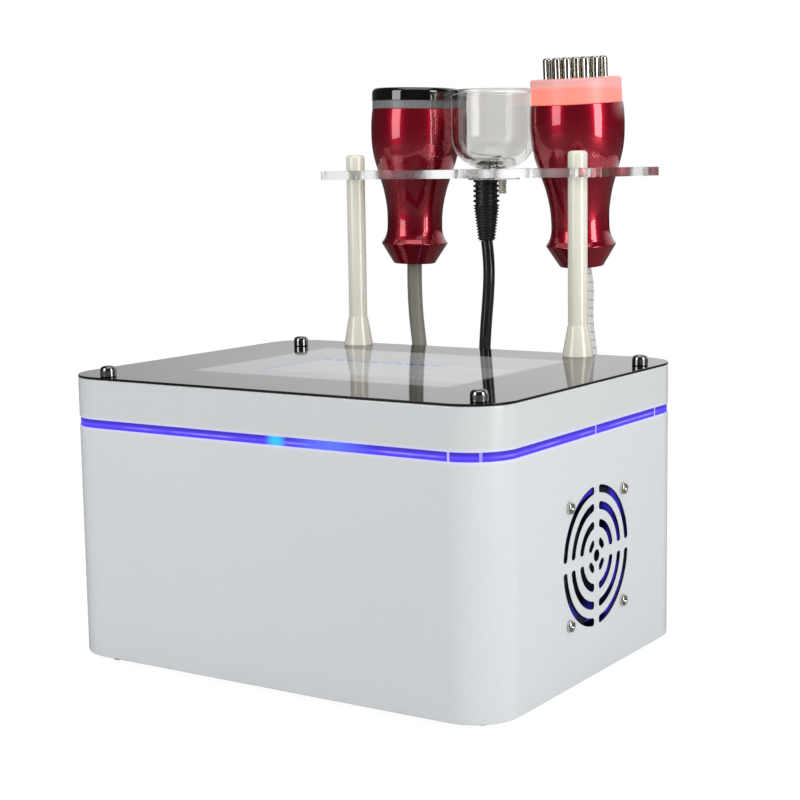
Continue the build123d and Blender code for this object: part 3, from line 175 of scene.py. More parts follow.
def rounded(corners, steps=6):
    """A profile through (r, h, fillet) corners, in mm, given in metres with each fillet as an arc.

    An arc starts at a distance fillet * tan(turn / 2) before its corner and sweeps the corner's turn."""
    corners = np.asarray(corners, float)
    line = [corners[0, :2]]
    for before, corner, after in zip(corners[:-2, :2], corners[1:-1], corners[2:, :2]):
        here, fillet = corner[:2], corner[2]
        arrive = (here - before) / np.linalg.norm(here - before)
        leave = (after - here) / np.linalg.norm(after - here)
        turn = math.acos(float(np.clip(arrive @ leave, -1, 1)))
        if fillet <= 0 or turn < 0.02:
            line.append(here)
            continue
        setback = fillet * math.tan(turn / 2)
        share = np.linspace(0, 1, steps + 1)[:, None]
        first, last = (1 - share) ** 2, share**2
        middle = 2 * np.cos(turn / 2) * share * (1 - share)
        arc = first * (here - arrive * setback) + middle * here + last * (here + leave * setback)
        line.extend(arc / (first + middle + last))
    line.append(corners[-1, :2])
    return np.asarray(line) * MM


def flowing(knots, steps, end, start=None):
    """A smooth line through knots: cubic Hermite runs with each knot's slope set by its neighbours."""
    knots = np.asarray(knots, float)
    gaps = np.linalg.norm(np.diff(knots, axis=0), axis=1)
    slopes = np.empty_like(knots)
    inner = np.diff(knots, axis=0) / gaps[:, None]
    before, after = gaps[:-1, None], gaps[1:, None]
    slopes[1:-1] = (inner[:-1] * after + inner[1:] * before) / (before + after)
    slopes[0] = inner[0] if start is None else start
    slopes[-1] = end
    share = np.linspace(0, 1, steps, endpoint=False)[:, None]
    runs = []
    for a, b, slope_a, slope_b, gap in zip(knots, knots[1:], slopes, slopes[1:], gaps):
        runs.append(
            (2 * share**3 - 3 * share**2 + 1) * a
            + (share**3 - 2 * share**2 + share) * gap * slope_a
            + (3 * share**2 - 2 * share**3) * b
            + (share**3 - share**2) * gap * slope_b
        )
    return np.concatenate(runs + [knots[-1:]])


def rounded_rectangle(length, depth, radius, steps):
    """The outline of a rectangle with quarter-circle corners, anticlockwise, in metres."""
    angle = np.linspace(0, np.pi / 2, steps)
    runs = []
    for quarter, (sx, sy) in enumerate(((1, 1), (-1, 1), (-1, -1), (1, -1))):
        turn = angle + quarter * np.pi / 2
        centre = np.array([sx * (length / 2 - radius), sy * (depth / 2 - radius)])
        runs.append(centre + radius * np.stack([np.cos(turn), np.sin(turn)], axis=1))
    return np.concatenate(runs)


def slab(outline, low, high, edge, steps=4):
    """A plate over an outline: rings move in by edge (1 - sin t) and up by edge (1 - cos t) at each rim."""
    centre = outline.mean(axis=0)
    tangent = np.roll(outline, -1, axis=0) - np.roll(outline, 1, axis=0)
    normal = np.stack([tangent[:, 1], -tangent[:, 0]], axis=1)
    normal /= np.linalg.norm(normal, axis=1)[:, None]
    turn = np.linspace(0, np.pi / 2, steps + 1)
    inset = np.concatenate([edge * (1 - np.sin(turn)), edge * (1 - np.cos(turn))])
    height = np.concatenate([low + edge * (1 - np.cos(turn)), high - edge * (1 - np.sin(turn))])
    rings = outline[None] - normal[None] * inset[:, None, None]
    closing = np.broadcast_to(centre, (1, *outline.shape))
    rings = np.concatenate([closing, rings, closing])
    height = np.concatenate([[low], height, [high]])
    points = np.concatenate([rings, np.broadcast_to(height[:, None, None], (*rings.shape[:2], 1))], axis=2)
    return points.reshape(-1, 3), grid_faces(len(rings), len(outline))


def carried_circle(path, radius, sides):
    """A tube: a circle of the given radius carried along a path without twisting, with flat ends.

    Point (i, j) is path i + radius (cos a * n + sin a * b), where n and b turn as little as they can."""
    path = np.asarray(path, float)
    ahead = np.gradient(path, axis=0)
    ahead /= np.linalg.norm(ahead, axis=1)[:, None]
    side = np.empty_like(path)
    first = np.cross(ahead[0], (0.0, 1.0, 0.0))
    side[0] = first / np.linalg.norm(first)
    for i in range(1, len(path)):
        carried = side[i - 1] - ahead[i] * (side[i - 1] @ ahead[i])
        side[i] = carried / np.linalg.norm(carried)
    across = np.cross(ahead, side)
    angle = np.linspace(0, 2 * np.pi, sides, endpoint=False)[:, None]
    ring = side[:, None] * np.cos(angle) + across[:, None] * np.sin(angle)
    points = path[:, None] + radius * ring
    points = np.concatenate([path[:1, None] + 0 * ring[:1], points, path[-1:, None] + 0 * ring[-1:]])
    return points.reshape(-1, 3), grid_faces(len(points), sides)


def mesh_of(name, points, faces):
    """A new mesh with the given points and faces."""
    mesh = bpy.data.meshes.new(name)
    mesh.from_pydata(points, [], faces)
    return mesh


def placed(name, data):
    """A new object in the scene."""
    item = bpy.data.objects.new(name, data)
    bpy.context.scene.collection.objects.link(item)
    return item


def piece_from(name, surface, material, *replaced, sharp=40):
    """Puts a surface into a mesh and finishes the piece."""
    finished(name, mesh_of(name, *surface), material, replaced, sharp)


def finished(name, mesh, material, replaced, sharp):
    """Closes a mesh, smooths it between its sharp edges and makes the piece that stands for its nodes."""
    close_seams(mesh)
    mesh.shade_smooth()
    mesh.set_sharp_from_angle(angle=math.radians(sharp))
    mesh.materials.clear()
    mesh.materials.append(material)
    piece = placed(name, mesh)
    flats = piece.modifiers.new("flat_faces_first", "WEIGHTED_NORMAL")
    flats.weight = 100
    flats.keep_sharp = True
    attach(piece, body_of_node[replaced[0]])
    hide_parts(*replaced)


def close_seams(mesh):
    """Merges points that lie together, so that seams and poles close, and drops faces without area."""
    shape = bmesh.new()
    shape.from_mesh(mesh)
    bmesh.ops.remove_doubles(shape, verts=shape.verts, dist=SEAM)
    bmesh.ops.dissolve_degenerate(shape, edges=shape.edges, dist=SEAM / 10)
    shape.to_mesh(mesh)
    shape.free()


def smoothed_copy(node, material):
    """A merged copy of a CAD node with smooth faces and sharp edges, standing for the node."""
    mesh = nodes[node].data.copy()
    mesh.name = node + "_skin"
    finished(node + "_skin", mesh, material, (node,), CAD_SHARP)


# Materials

BLACK = (0.0, 0.0, 0.0)

# Plain finishes: two tones, lowest and highest roughness, scales of patches and grain, and relief
FINISHES = {
    "foot_rubber": ((0.012, 0.012, 0.013), (0.03, 0.03, 0.03), (0.6, 0.8), 80, 1500, 0.3),
    "mount_rubber": ((0.014, 0.014, 0.014), (0.03, 0.03, 0.03), (0.6, 0.8), 80, 1500, 0.3),
    "boot_rubber": ((0.009, 0.009, 0.009), (0.018, 0.018, 0.018), (0.32, 0.45), 90, 1500, 0.15),
    "polished_chrome": ((0.24, 0.24, 0.25), (0.32, 0.32, 0.33), (0.08, 0.14), 200, 300, 0.0),
    "polished_steel": ((0.62, 0.59, 0.53), (0.7, 0.67, 0.61), (0.1, 0.15), 300, 300, 0.0),
    "zinc_plate": ((0.5, 0.51, 0.52), (0.6, 0.6, 0.6), (0.28, 0.45), 120, 900, 0.1),
    "fan_plastic": ((0.01, 0.01, 0.014), (0.018, 0.018, 0.024), (0.4, 0.55), 90, 1200, 0.15),
    "panel_lacquer": ((0.018, 0.018, 0.019), (0.03, 0.03, 0.03), (0.35, 0.5), 40, 1200, 0.25),
    "black_plastic": ((0.012, 0.012, 0.012), (0.022, 0.022, 0.022), (0.3, 0.45), 80, 1500, 0.2),
    "switch_plastic": ((0.01, 0.01, 0.01), (0.014, 0.014, 0.014), (0.1, 0.18), 80, 900, 0.03),
    "pump_plastic": ((0.16, 0.16, 0.17), (0.22, 0.22, 0.23), (0.4, 0.55), 60, 900, 0.2),
    "hose_silicone": ((0.55, 0.57, 0.58), (0.65, 0.66, 0.66), (0.25, 0.4), 60, 900, 0.1),
    "green_board": ((0.015, 0.12, 0.045), (0.02, 0.16, 0.06), (0.3, 0.45), 400, 1500, 0.2),
    "white_board": ((0.62, 0.62, 0.6), (0.7, 0.7, 0.68), (0.3, 0.45), 200, 1500, 0.1),
    "display_frame": ((0.05, 0.05, 0.055), (0.08, 0.08, 0.08), (0.4, 0.55), 80, 900, 0.1),
    "ivory_lacquer": ((0.74, 0.71, 0.615), (0.78, 0.75, 0.66), (0.16, 0.26), 30, 1200, 0.03),
    "ring_plastic": ((0.16, 0.165, 0.17), (0.2, 0.2, 0.205), (0.25, 0.36), 60, 1400, 0.06),
    "cap_gloss": ((0.002, 0.002, 0.002), (0.004, 0.004, 0.004), (0.03, 0.07), 60, 900, 0.0),
    "nipple_plastic": ((0.62, 0.59, 0.5), (0.68, 0.65, 0.57), (0.3, 0.42), 60, 900, 0.1),
}


def node_of(tree, kind, **values):
    """Adds a shader node and sets its properties or, by socket name, its unlinked inputs."""
    node = tree.nodes.new(kind)
    for key, value in values.items():
        name = key.replace("_", " ")
        if hasattr(node, key):
            setattr(node, key, value)
        else:
            socket = next(s for s in node.inputs if s.name.lower() == name.lower())
            socket.default_value = value
    return node


def principled(name, base, roughness, **values):
    """A new material whose Principled BSDF has the given constants on its own sockets."""
    material = bpy.data.materials.new(name)
    material.use_nodes = True
    shader = material.node_tree.nodes["Principled BSDF"]
    shader.inputs["Base Color"].default_value = (*base[:3], 1)
    shader.inputs["Roughness"].default_value = roughness
    for key, value in values.items():
        shader.inputs[key.replace("_", " ").title().replace("Ior", "IOR")].default_value = value
    return material, material.node_tree, shader


def mapped(value, low, high, out_low=0.0, out_high=1.0):
    """A smooth step of a socket's value from low to high."""
    tree = value.id_data
    step = node_of(tree, "ShaderNodeMapRange", interpolation_type="SMOOTHSTEP")
    limits = {"From Min": low, "From Max": high, "To Min": out_low, "To Max": out_high}
    for socket, number in limits.items():
        step.inputs[socket].default_value = number
    tree.links.new(value, step.inputs["Value"])
    return step.outputs["Result"]


def calculated(operation, a, b=None):
    """One step of arithmetic on a socket, or on a socket and a number, either way round."""
    tree = (b if isinstance(a, (int, float)) else a).id_data
    step = node_of(tree, "ShaderNodeMath", operation=operation)
    for i, value in enumerate((a, b)):
        if value is None:
            continue
        if isinstance(value, (int, float)):
            step.inputs[i].default_value = value
        else:
            tree.links.new(value, step.inputs[i])
    return step.outputs[0]


def mixed(factor, below, above):
    """below + factor (above - below) for numbers or sockets."""
    tree = factor.id_data
    mix = node_of(tree, "ShaderNodeMix", data_type="FLOAT")
    tree.links.new(factor, mix.inputs[0])
    for index, value in ((2, below), (3, above)):
        if isinstance(value, (int, float)):
            mix.inputs[index].default_value = value
        else:
            tree.links.new(value, mix.inputs[index])
    return mix.outputs[0]


def product(*values):
    """All the values multiplied, numbers or sockets."""
    result = values[0]
    for value in values[1:]:
        result = calculated("MULTIPLY", result, value)
    return result


def away_from(value, place):
    """How far a value lies from a place, either way."""
    return calculated("ABSOLUTE", calculated("SUBTRACT", value, place))


def tinted(factor, below, above):
    """below + factor (above - below) for colours or sockets."""
    tree = factor.id_data
    mix = node_of(tree, "ShaderNodeMix", data_type="RGBA")
    tree.links.new(factor, mix.inputs[0])
    for index, value in ((6, below), (7, above)):
        if isinstance(value, tuple):
            mix.inputs[index].default_value = (*value[:3], 1)
        else:
            tree.links.new(value, mix.inputs[index])
    return mix.outputs[2]


def axes_of(vector):
    """The x, y and z of a vector."""
    split = vector.id_data.nodes.new("ShaderNodeSeparateXYZ")
    vector.id_data.links.new(vector, split.inputs[0])
    return split.outputs


def object_axes(tree):
    """The object's own x, y and z at the shaded point."""
    where = tree.nodes.new("ShaderNodeTexCoord")
    where.name = "object_place"
    return axes_of(where.outputs["Object"])


def kinds_of_ray(tree):
    """1 for a ray that is a reflection, and 1 for one from the camera, straight or through a clear piece."""
    path = tree.nodes.new("ShaderNodeLightPath")
    seen = calculated("MAXIMUM", path.outputs["Is Camera Ray"], path.outputs["Is Transmission Ray"])
    return path.outputs["Is Glossy Ray"], seen


def object_noise(tree, scale, detail):
    """A noise over the object's own place, after object_axes."""
    noise = node_of(tree, "ShaderNodeTexNoise", Scale=scale, Detail=detail)
    tree.links.new(tree.nodes["object_place"].outputs["Object"], noise.inputs["Vector"])
    return noise.outputs["Fac"]


def block_mask(x, y, box, soft):
    """1 inside a box of the x, y plane and 0 outside, with edges as wide as soft."""
    x_low, y_low, x_high, y_high = (v * MM for v in box)
    soft *= MM
    mask = mapped(x, x_low - soft, x_low + soft)
    for value, edge, side in ((x, x_high, -1), (y, y_low, 1), (y, y_high, -1)):
        mask = product(mask, mapped(value, edge - side * soft, edge + side * soft))
    return mask


def grain_group():
    """Surface grain: two tones, a roughness that wanders between two limits, and a fine height.

    Colour = tone A to tone B by a slow noise; roughness follows a second noise; height is a fine noise."""
    found = bpy.data.node_groups.get("surface_grain")
    if found:
        return found
    group = bpy.data.node_groups.new("surface_grain", "ShaderNodeTree")
    inputs = {
        "Tone A": "Color", "Tone B": "Color", "Patch Scale": "Float", "Fine Scale": "Float",
        "Roughness Low": "Float", "Roughness High": "Float",
    }
    outputs = {"Colour": "Color", "Roughness": "Float", "Height": "Float"}
    for side, sockets in (("INPUT", inputs), ("OUTPUT", outputs)):
        for name, kind in sockets.items():
            group.interface.new_socket(name, in_out=side, socket_type="NodeSocket" + kind)
    inside, outside = group.nodes.new("NodeGroupInput"), group.nodes.new("NodeGroupOutput")
    where = group.nodes.new("ShaderNodeTexCoord")
    link = group.links.new
    patch = node_of(group, "ShaderNodeTexNoise", Detail=3.0)
    fine = node_of(group, "ShaderNodeTexNoise", Detail=4.0)
    for noise, scale in ((patch, "Patch Scale"), (fine, "Fine Scale")):
        link(where.outputs["Object"], noise.inputs["Vector"])
        link(inside.outputs[scale], noise.inputs["Scale"])
    mix = node_of(group, "ShaderNodeMix", data_type="RGBA")
    link(patch.outputs["Fac"], mix.inputs[0])
    link(inside.outputs["Tone A"], mix.inputs[6])
    link(inside.outputs["Tone B"], mix.inputs[7])
    spread = node_of(group, "ShaderNodeMapRange")
    spread.inputs["From Min"].default_value = 0.3
    spread.inputs["From Max"].default_value = 0.7
    link(fine.outputs["Fac"], spread.inputs["Value"])
    link(inside.outputs["Roughness Low"], spread.inputs["To Min"])
    link(inside.outputs["Roughness High"], spread.inputs["To Max"])
    link(mix.outputs[2], outside.inputs["Colour"])
    link(spread.outputs["Result"], outside.inputs["Roughness"])
    link(fine.outputs["Fac"], outside.inputs["Height"])
    return group


def grained(name, tone_a, tone_b, roughness, patch, fine, bump, **values):
    """A material with the shared grain on its colour, roughness and, if bump isn't 0, its normal."""
    material, tree, shader = principled(name, tone_a, roughness[0], **values)
    grain = tree.nodes.new("ShaderNodeGroup")
    grain.node_tree = grain_group()
    settings = ((*tone_a[:3], 1), (*tone_b[:3], 1), patch, fine, *roughness)
    for socket, value in zip(grain.inputs, settings):
        socket.default_value = value
    link = tree.links.new
    link(grain.outputs["Colour"], shader.inputs["Base Color"])
    link(grain.outputs["Roughness"], shader.inputs["Roughness"])
    if bump:
        relief = node_of(tree, "ShaderNodeBump", Strength=bump, Distance=0.02 * MM)
        link(grain.outputs["Height"], relief.inputs["Height"])
        link(relief.outputs["Normal"], shader.inputs["Normal"])
    return material, tree, shader


def shade(colour, factor):
    """A colour made darker or lighter by a factor."""
    return tuple(min(1.0, c * factor) for c in colour[:3])


def finish(name, **values):
    """A new material from the table of finishes, with further constants for its shader."""
    return grained(name, *FINISHES[name], **values)[0]


def dress(material, *dressed):
    """Gives CAD nodes one material, each on its smooth copy."""
    for node in dressed:
        smoothed_copy(node, material)


# Camera, light and ground

LENS = 76.467
SENSOR = 36
FAR_CLIP = 50
CAMERA_AT = (0.6159, -0.91219, 0.31574)
YAW, PITCH, ROLL = (math.radians(v) for v in (33.2213, 7.8054, -0.8690))

# Soft boxes, aimed at the middle of the machine: place, width, height, power and tint
LAMP_TARGET = (0, 0.03, 0.18)
SOFT_BOXES = {
    "front_softbox": ((-0.65, -1.5, 0.72), 0.75, 1.2, 12, (1.0, 1.0, 1.0)),
    "right_softbox": ((1.62, -0.15, 0.60), 0.55, 1.2, 16.4, (1.0, 0.997, 0.985)),
    "top_softbox": ((0.1, -0.1, 1.7), 1.2, 1.2, 8, (1.0, 1.0, 1.0)),
    "back_softbox": ((-0.3, 1.8, 1.0), 1.2, 0.8, 5, (1.0, 1.0, 1.0)),
}

# The world's strength on surfaces and, for the room in front, in reflections, and where it turns white
WORLD_LEVEL = 0.48
ROOM_LEVEL = 0.045
TURNS_WHITE_BACKWARD = (0.40, 0.92)
TURNS_WHITE_UPWARD = (0.02, 0.12)

# The ground's reach, its tone on the object and in reflections, and the white that the camera sees
GROUND_REACH = 6.0
PAPER = (0.74, 0.74, 0.74)
PAPER_IN_REFLECTIONS = (0.2, 0.2, 0.2)
PAPER_WHITE = 1.09
PAPER_WHITE_SHARE = 0.88


def camera_matrix():
    """The camera's axes from its yaw, pitch and roll, with its place as the last column."""
    view = Vector((-math.sin(YAW) * math.cos(PITCH), math.cos(YAW) * math.cos(PITCH), -math.sin(PITCH)))
    right = Vector((math.cos(YAW), math.sin(YAW), 0))
    up = right.cross(view)
    right_rolled = math.cos(ROLL) * right + math.sin(ROLL) * up
    up_rolled = -math.sin(ROLL) * right + math.cos(ROLL) * up
    matrix = Matrix((right_rolled, up_rolled, -view)).transposed().to_4x4()
    matrix.translation = Vector(CAMERA_AT)
    return matrix


def area_lamp(name, place, width, height, power, tint):
    """A soft box that faces the middle of the machine."""
    lamp = bpy.data.lights.new(name, "AREA")
    lamp.shape = "RECTANGLE"
    lamp.size, lamp.size_y = width, height
    lamp.energy = power
    lamp.color = tint
    holder = placed(name, lamp)
    holder.location = place
    holder.rotation_euler = (Vector(LAMP_TARGET) - Vector(place)).to_track_quat("-Z", "Y").to_euler()
    return holder


def world_light():
    """A plain world: one level on surfaces, white for the camera and glass, and a dim room in reflections.

    The reflected strength goes from the room's, for rays that leave towards the viewer, to white behind."""
    world = bpy.data.worlds.new("studio")
    world.use_nodes = True
    tree = world.node_tree
    background = tree.nodes["Background"]
    background.inputs["Color"].default_value = (1, 1, 1, 1)
    glossy, seen = kinds_of_ray(tree)
    _, y, z = axes_of(tree.nodes.new("ShaderNodeTexCoord").outputs["Generated"])
    behind = product(mapped(y, *TURNS_WHITE_BACKWARD), mapped(z, *TURNS_WHITE_UPWARD))
    level = mixed(glossy, WORLD_LEVEL, mixed(behind, ROOM_LEVEL, 1.0))
    tree.links.new(mixed(seen, level, 1.0), background.inputs["Strength"])
    bpy.context.scene.world = world


class CUPPING_OT_stage(bpy.types.Operator):
    """Makes the camera, the lamps, the world and the ground"""

    bl_idname = "cupping.stage"
    bl_label = "Stage"

    def execute(self, context):
        scene = context.scene
        scene.view_settings.view_transform = "Standard"
        lens = bpy.data.cameras.new("photo_view")
        lens.sensor_width = SENSOR
        lens.lens = LENS
        lens.clip_end = FAR_CLIP
        scene.camera = placed("photo_view", lens)
        scene.camera.matrix_world = camera_matrix()
        for name, settings in SOFT_BOXES.items():
            lamp = area_lamp(name, *settings)
            lamp.visible_glossy = name != "back_softbox"
        world_light()
        self.ground()
        return {"FINISHED"}

    def ground(self):
        """A flat sheet of paper that takes the machine's shadow and is white to the camera."""
        corners = GROUND_REACH * np.array([[-1, -1, 0], [1, -1, 0], [1, 1, 0], [-1, 1, 0]])
        mesh = mesh_of("ground", corners, np.array([[0, 1, 2, 3]]))
        material, tree, shader = principled("ground_paper", PAPER, 0.9)
        link = tree.links.new
        glossy, seen = kinds_of_ray(tree)
        link(tinted(glossy, PAPER, PAPER_IN_REFLECTIONS), shader.inputs["Base Color"])
        white = node_of(tree, "ShaderNodeEmission", Strength=PAPER_WHITE)
        mix = tree.nodes.new("ShaderNodeMixShader")
        link(product(seen, PAPER_WHITE_SHARE), mix.inputs[0])
        link(shader.outputs[0], mix.inputs[1])
        link(white.outputs[0], mix.inputs[2])
        link(mix.outputs[0], tree.nodes["Material Output"].inputs["Surface"])
        mesh.materials.append(material)
        ground = placed("ground", mesh)


# Cords: control points in mm, from the handset down to its coil, and from the coil back to its plug

LEFT_DROP = [
    (-68.813, 156, 244.822), (-69.5, 156, 216), (-64.6, 156.5, 176), (-63.2, 157.5, 134), (-64.8, 157.2, 95),
    (-66.8, 156.6, 60), (-67.6, 156.8, 36.5), (-73.6, 157.5, 22.3), (-84.6, 158, 11.4), (-99, 157.3, 5.5),
    (-123.5, 156.025, 5.5), (-147, 156.025, 5.5),
]
LEFT_RETURN = [
    (-88.725, 214.3, 17), (-88.725, 200, 17), (-89.8, 185, 20.8), (-92, 170.5, 26), (-92, 156.5, 26),
]
CUP_DROP = [
    (-6.5, 156, 262.3), (-4.7, 156, 249), (-4.9, 156, 228), (-9, 157, 194), (-12.2, 159.5, 156),
    (-15.4, 162.5, 124), (-20, 168.5, 92), (-30, 178, 62), (-37.5, 190, 44), (-42.2, 204.5, 34.5),
    (-43.762, 220.5, 30.05), (-43.762, 236.5, 30.05),
]
CUP_RETURN = [
    (63.762, 236.5, 39.05), (63.762, 220.2, 39.05), (61.2, 204, 37.2), (55.8, 188.5, 32.8), (52, 173, 26),
    (52, 156.5, 26),
]
RIGHT_DROP = [
    (67.5, 161.363, 244.966), (70.1, 162.5, 232), (67.9, 163.8, 208), (71.4, 165.5, 178), (75, 167.3, 146),
    (75.6, 169.3, 108), (76.2, 171.5, 76), (76, 173.4, 42.3), (69.2, 173.9, 25.8), (56.5, 174, 13.1),
    (40, 173.494, 6.25), (22.5, 173.494, 6.25),
]
RIGHT_RETURN = [
    (81.506, 232.5, 19.25), (81.506, 217, 19.25), (85, 201, 21), (90.5, 187, 23.8), (94, 171.8, 26),
    (94, 156.5, 26),
]

# Each cord's drop, return and coil: centre, seat, mean radius, cord's diameter, quarter turns, first angle
CORDS = {
    "left": (LEFT_DROP, LEFT_RETURN, ((-158.0, 225.3), 0, 61.3, 11.0, 11, -90)),
    "cup": (CUP_DROP, CUP_RETURN, ((10.0, 245.0), 25.8, 45.8, 8.5, 14, -180)),
    "right": (RIGHT_DROP, RIGHT_RETURN, ((10.0, 245.0), 0, 62.5, 12.5, 11, -90)),
}
COIL_POINTS = 16
TURN_GAP = 0.6
LAYER_GAP = 0.5

# The turns that the sleeve's wound band makes in a centimetre of cord, and its joint's share of a turn, grey
# with painted shade
SLEEVE_TURNS = 1.7
SLEEVE_SHADED_JOINT = 0.20


def coil_points(centre, seat, mean_radius, diameter, quarters, first_angle):
    """Control points of a neat coil, clockwise from above, 16 for each turn.

    The radius shrinks by one pitch a turn to the middle and grows again, the height climbs one layer
    in the half turn where the spiral reverses, and the points stand out by 1 / cos(half a step), so that
    the spline keeps the radius."""
    at = np.arange(1, quarters * COIL_POINTS // 4) * 4 / COIL_POINTS
    pitch = diameter + TURN_GAP
    swing = quarters / 2 * pitch / 4
    radius = mean_radius - swing / 2 + np.abs(at - quarters / 2) * pitch / 4
    radius = radius / math.cos(math.pi / COIL_POINTS)
    climb = np.clip((at - quarters / 2 + 1) / 2, 0, 1)
    height = seat + diameter / 2 + (diameter + LAYER_GAP) * climb**2 * (3 - 2 * climb)
    angle = np.radians(first_angle - 90 * at)
    x, y = centre[0] + radius * np.cos(angle), centre[1] + radius * np.sin(angle)
    return np.stack([x, y, height], axis=1)


def spline_path(points):
    """The line of one open NURBS spline through a cord's control points, read back as points in metres."""
    curve = bpy.data.curves.new("cord_route", "CURVE")
    curve.dimensions = "3D"
    curve.resolution_u = 6
    spline = curve.splines.new("NURBS")
    spline.points.add(len(points) - 1)
    weighted = np.concatenate([np.asarray(points, float) * MM, np.ones((len(points), 1))], axis=1)
    spline.points.foreach_set("co", weighted.ravel())
    spline.order_u = 3
    spline.use_endpoint_u = True
    holder = placed("cord_route", curve)
    line = bpy.data.meshes.new_from_object(holder)
    path = np.empty(len(line.vertices) * 3)
    line.vertices.foreach_get("co", path)
    bpy.data.objects.remove(holder)
    bpy.data.curves.remove(curve)
    bpy.data.meshes.remove(line)
    return path.reshape(-1, 3)


class CUPPING_OT_cords(bpy.types.Operator):
    """Makes the three cords, down behind the case, through their coils and back to their plugs"""

    bl_idname = "cupping.cords"
    bl_label = "Cords"

    def execute(self, context):
        looks = context.scene.cupping_cords
        materials = (
            grained("grey_silicone", looks.grey, shade(looks.grey, 1.35), (0.34, 0.46), 60, 900, 0.12)[0],
            grained("black_silicone", looks.black, shade(looks.black, 1.8), (0.14, 0.24), 60, 900, 0.05)[0],
            self.wound_sleeve(looks),
        )
        for (name, (drop, back, coil)), material in zip(CORDS.items(), materials):
            diameter = coil[3] * MM
            path = spline_path([*drop, *coil_points(*coil), *back])
            mesh = mesh_of(name + "_cord", *carried_circle(path, diameter / 2, looks.sides))
            self.add_map(mesh, path, looks.sides)
            close_seams(mesh)
            mesh.shade_smooth()
            mesh.set_sharp_from_angle(angle=math.radians(50))
            mesh.materials.append(material)
            piece = placed(name + "_cord", mesh)
            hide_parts(name + "_drop", name + "_coil", name + "_return")
            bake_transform(piece)
        return {"FINISHED"}

    def add_map(self, mesh, path, sides):
        """A UV map with u once round the cord and v along it, in centimetres."""
        along = np.concatenate([[0], np.cumsum(np.linalg.norm(np.diff(path, axis=0), axis=1))]) * 100
        along = np.concatenate([along[:1], along, along[-1:]])
        layer = mesh.uv_layers.new(name="cord_map")
        i, j = np.meshgrid(np.arange(len(along) - 1), np.arange(sides), indexing="ij")
        u = np.stack([j, j + 1, j + 1, j], axis=-1) / sides
        v = np.stack([along[i], along[i], along[i + 1], along[i + 1]], axis=-1)
        layer.data.foreach_set("uv", np.stack([u, v], axis=-1).ravel())

    def wound_sleeve(self, looks):
        """White sleeve with a band wound round it, raised, and greyer at the joint with painted shade.

        The place in the stripe is the fraction of u + turns per centimetre times v."""
        material, tree, shader = principled("white_sleeve", looks.white, 0.32)
        link = tree.links.new
        place = node_of(tree, "ShaderNodeUVMap", uv_map="cord_map")
        round_cord, along, _ = axes_of(place.outputs["UV"])
        turns = product(along, SLEEVE_TURNS)
        stripe = calculated("FRACT", calculated("ADD", round_cord, turns))
        ramp = tree.nodes.new("ShaderNodeValToRGB")
        joint, sleeve = ramp.color_ramp.elements
        # Painted shade in the joint between the band's turns
        joint.color = (*shade(looks.white, 0.34), 1)
        sleeve.color = (*looks.white, 1)
        sleeve.position = SLEEVE_SHADED_JOINT
        link(stripe, ramp.inputs["Fac"])
        link(ramp.outputs["Color"], shader.inputs["Base Color"])
        relief = node_of(tree, "ShaderNodeBump", Strength=0.5, Distance=0.4 * MM)
        link(ramp.outputs["Color"], relief.inputs["Height"])
        link(relief.outputs["Normal"], shader.inputs["Normal"])
        return material


# Case, top sheet and light band

SHEET_CORNER = 29.5 * MM
GRILLE_EDGE = 44
# Painted shade on the side walls of the grille's slot openings
SLOT_SHADE = (0.008, 0.008, 0.012)
SPILL_REACH = 2.5 * MM

# Hot spots in the band's front: place along X and width in mm, and light
BAND_SPOTS = ((13, 9, (0.005, 0.55, 1.0)), (52, 34, (0.09, 0.16, 1.0)))

# Ticks at the band's joints, in mm: along X on the front and along Y on the side
FRONT_TICKS = (132, 149)
SIDE_TICKS = (0, 84)
TICK_LIGHT = (0.55, 0.48, 1.0)

# The screen's plain layout, as boxes in mm: left, front, right and back
SCREEN_FIELD = (-97, -68, 97, 82)
SCREEN_BLOCK = (-58, -45, 95, 23)
LINE_ACROSS = (-59.5, -48, -56.5, 23)
LINE_ALONG = (-58, 18, 40, 25)
LINE_LIGHT = (0.0, 0.03, 0.24)
DASHES_PER_METRE = 105

# Outlines of turned pieces, here and below, in mm: radius, height and rounding at each corner
FOOT = [(0, 0, 0), (12, 0, 0.8), (12, 5, 0.3), (0, 5, 0)]
FOOT_STEM = [(0, 5, 0), (3, 5, 0), (3, 9.5, 0.4), (0, 9.5, 0)]
FOOT_X, FOOT_Y = 100, 90


